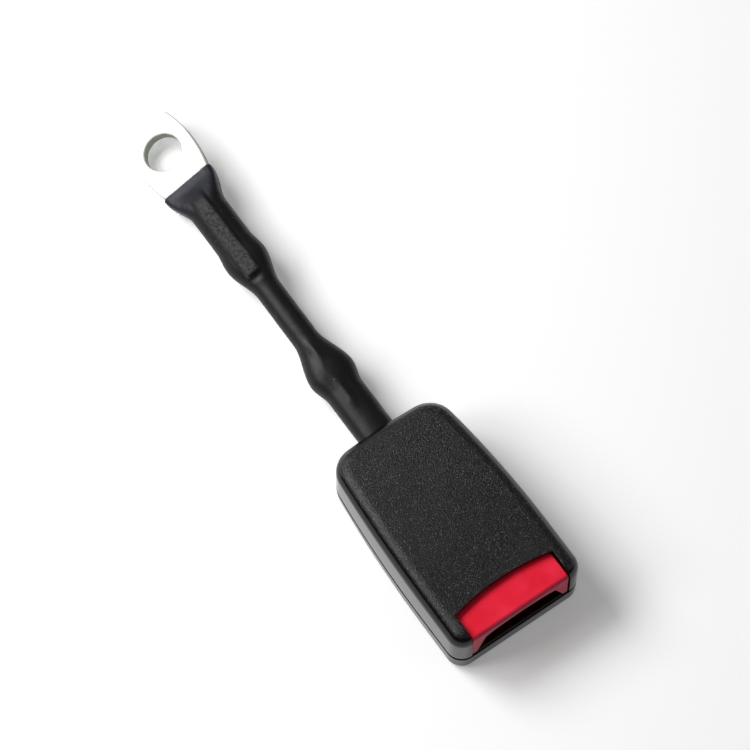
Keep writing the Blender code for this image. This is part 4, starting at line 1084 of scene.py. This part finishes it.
bare_steel = steel_look("bare_steel", BARE_STEEL, 0.34, (1.0, 0.2, 1.0))
frame_zinc = zinc_look("frame_zinc", FRAME_ZINC, 0.34)
nylon = nylon_look()
NODE_LOOKS = {
    "lock_bar": bare_steel,
    "latch_plate": bare_steel,
    "latch_pin": bare_steel,
    "wire_rope": bare_steel,
    "buckle_frame": frame_zinc,
    "frame_rivet": frame_zinc,
    "buckle_terminal": frame_zinc,
    "latch_spring": spring_steel,
    "ejector": nylon,
    "rope_liner": nylon,
}
for node_name, look in NODE_LOOKS.items():
    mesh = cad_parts[node_name].data
    mesh.materials.clear()
    mesh.materials.append(look)


# Floor, light and camera

FLOOR_SIZE = 3.0
FLOOR_WHITE = 0.96
FLOOR_GLOW = {"From Min": 0.22, "From Max": 1.0, "To Min": 0.22, "To Max": 0.95}
CEILING_GLOW = (0.08, 0.32)
ROOM_GLOW = 0.12


def make_stage():
    """A white floor that camera and gloss see brighter further out."""
    bm = bmesh.new()
    bmesh.ops.create_grid(bm, x_segments=1, y_segments=1, size=FLOOR_SIZE)
    floor = new_object("floor", bm)
    material = bpy.data.materials.new("floor")
    material.use_nodes = True
    tree = material.node_tree
    shader = tree.nodes["Principled BSDF"]
    shader.inputs["Base Color"].default_value = (FLOOR_WHITE, FLOOR_WHITE, FLOOR_WHITE, 1.0)
    shader.inputs["Roughness"].default_value = 0.95
    shader.inputs["Specular IOR Level"].default_value = 0.0
    path = tree.nodes.new("ShaderNodeLightPath")
    seen = tree.nodes.new("ShaderNodeMath")
    seen.operation = "MAXIMUM"
    link(tree, path.outputs["Is Camera Ray"], seen.inputs[0])
    link(tree, path.outputs["Is Glossy Ray"], seen.inputs[1])
    lift = tree.nodes.new("ShaderNodeMath")
    lift.operation = "MULTIPLY"
    link(tree, seen.outputs[0], lift.inputs[0])
    place = tree.nodes.new("ShaderNodeTexCoord")
    away = tree.nodes.new("ShaderNodeVectorMath")
    away.operation = "LENGTH"
    link(tree, place.outputs["Object"], away.inputs[0])
    level = tree.nodes.new("ShaderNodeMapRange")
    link(tree, away.outputs["Value"], level.inputs["Value"])
    for key, value in FLOOR_GLOW.items():
        level.inputs[key].default_value = value
    link(tree, level.outputs["Result"], lift.inputs[1])
    shader.inputs["Emission Color"].default_value = (1.0, 1.0, 1.0, 1.0)
    link(tree, lift.outputs[0], shader.inputs["Emission Strength"])
    floor.data.materials.append(material)


def make_world():
    """White behind the object, and for its gloss a plain ceiling that darkens to the horizon."""
    world = bpy.data.worlds.new("studio")
    bpy.context.scene.world = world
    world.use_nodes = True
    tree = world.node_tree
    background = tree.nodes["Background"]
    background.inputs["Color"].default_value = (1.0, 1.0, 1.0, 1.0)
    path = tree.nodes.new("ShaderNodeLightPath")
    place = tree.nodes.new("ShaderNodeTexCoord")
    split = tree.nodes.new("ShaderNodeSeparateXYZ")
    link(tree, place.outputs["Generated"], split.inputs[0])
    steps = (
        (split.outputs["Z"], 0.20, 0.80, *CEILING_GLOW),
        (path.outputs["Is Glossy Ray"], 0.0, 1.0, ROOM_GLOW, None),
        (path.outputs["Is Camera Ray"], 0.0, 1.0, None, 1.0),
    )
    level = None
    for source, start, end, low, high in steps:
        node = tree.nodes.new("ShaderNodeMapRange")
        link(tree, source, node.inputs["Value"])
        node.inputs["From Min"].default_value = start
        node.inputs["From Max"].default_value = end
        for key, value in (("To Min", low), ("To Max", high)):
            if value is None:
                link(tree, level, node.inputs[key])
            else:
                node.inputs[key].default_value = value
        level = node.outputs["Result"]
    link(tree, level, background.inputs["Strength"])


def add_light(name, size, power, place, aim, colour):
    data = bpy.data.lights.new(name, "AREA")
    data.shape = "DISK"
    data.size = size
    data.energy = power
    data.color = colour
    light = bpy.data.objects.new(name, data)
    bpy.context.scene.collection.objects.link(light)
    light.location = place
    light.rotation_euler = (Vector(aim) - Vector(place)).to_track_quat("-Z", "Y").to_euler()


PHOTO_SIZE = 750.0
SENSOR = 36.0
AZIMUTH = -34.992
ELEVATION = 67.579
FOCAL_PIXELS = 4131.5
PIXELS_PER_METRE = 3097.0
TARGET_PIXEL = (448.787, 524.06)


def make_camera():
    """The photograph's view, found by fitting the solids' outline to it."""
    azimuth = math.radians(AZIMUTH)
    elevation = math.radians(ELEVATION)
    target = at(0.0, 0.040, 0.0125)
    level = math.cos(elevation)
    back = Vector((math.sin(azimuth) * level, -math.cos(azimuth) * level, math.sin(elevation)))
    right = Vector((math.cos(azimuth), math.sin(azimuth), 0.0))
    up = back.cross(right)
    distance = FOCAL_PIXELS / PIXELS_PER_METRE
    data = bpy.data.cameras.new("camera")
    data.sensor_width = SENSOR
    data.lens = FOCAL_PIXELS * SENSOR / PHOTO_SIZE
    data.clip_start = 0.01
    camera = bpy.data.objects.new("camera", data)
    bpy.context.scene.collection.objects.link(camera)
    across = (TARGET_PIXEL[0] - PHOTO_SIZE / 2) / PIXELS_PER_METRE
    down = (PHOTO_SIZE / 2 - TARGET_PIXEL[1]) / PIXELS_PER_METRE
    camera.location = target + back * distance - right * across - up * down
    camera.rotation_euler = (math.pi / 2 - elevation, 0.0, azimuth)
    bpy.context.scene.camera = camera


# Name, diameter, power, place, aim and colour
WHITE = (1.0, 1.0, 1.0)
LILAC = (0.96, 0.92, 1.0)
LIGHTS = (
    ("key", 0.62, 10.8, (-0.42, 0.70, 0.80), (0.0, -0.02, 0.0), WHITE),
    ("side", 0.50, 4.5, (-0.81, 0.33, 0.70), (0.0, -0.05, 0.0), WHITE),
    ("fill", 0.90, 0.5, (0.75, -0.90, 1.00), (0.0, 0.0, 0.0), LILAC),
)

make_stage()
make_world()
for light in LIGHTS:
    add_light(*light)
make_camera()
bpy.context.scene.view_settings.view_transform = "Standard"
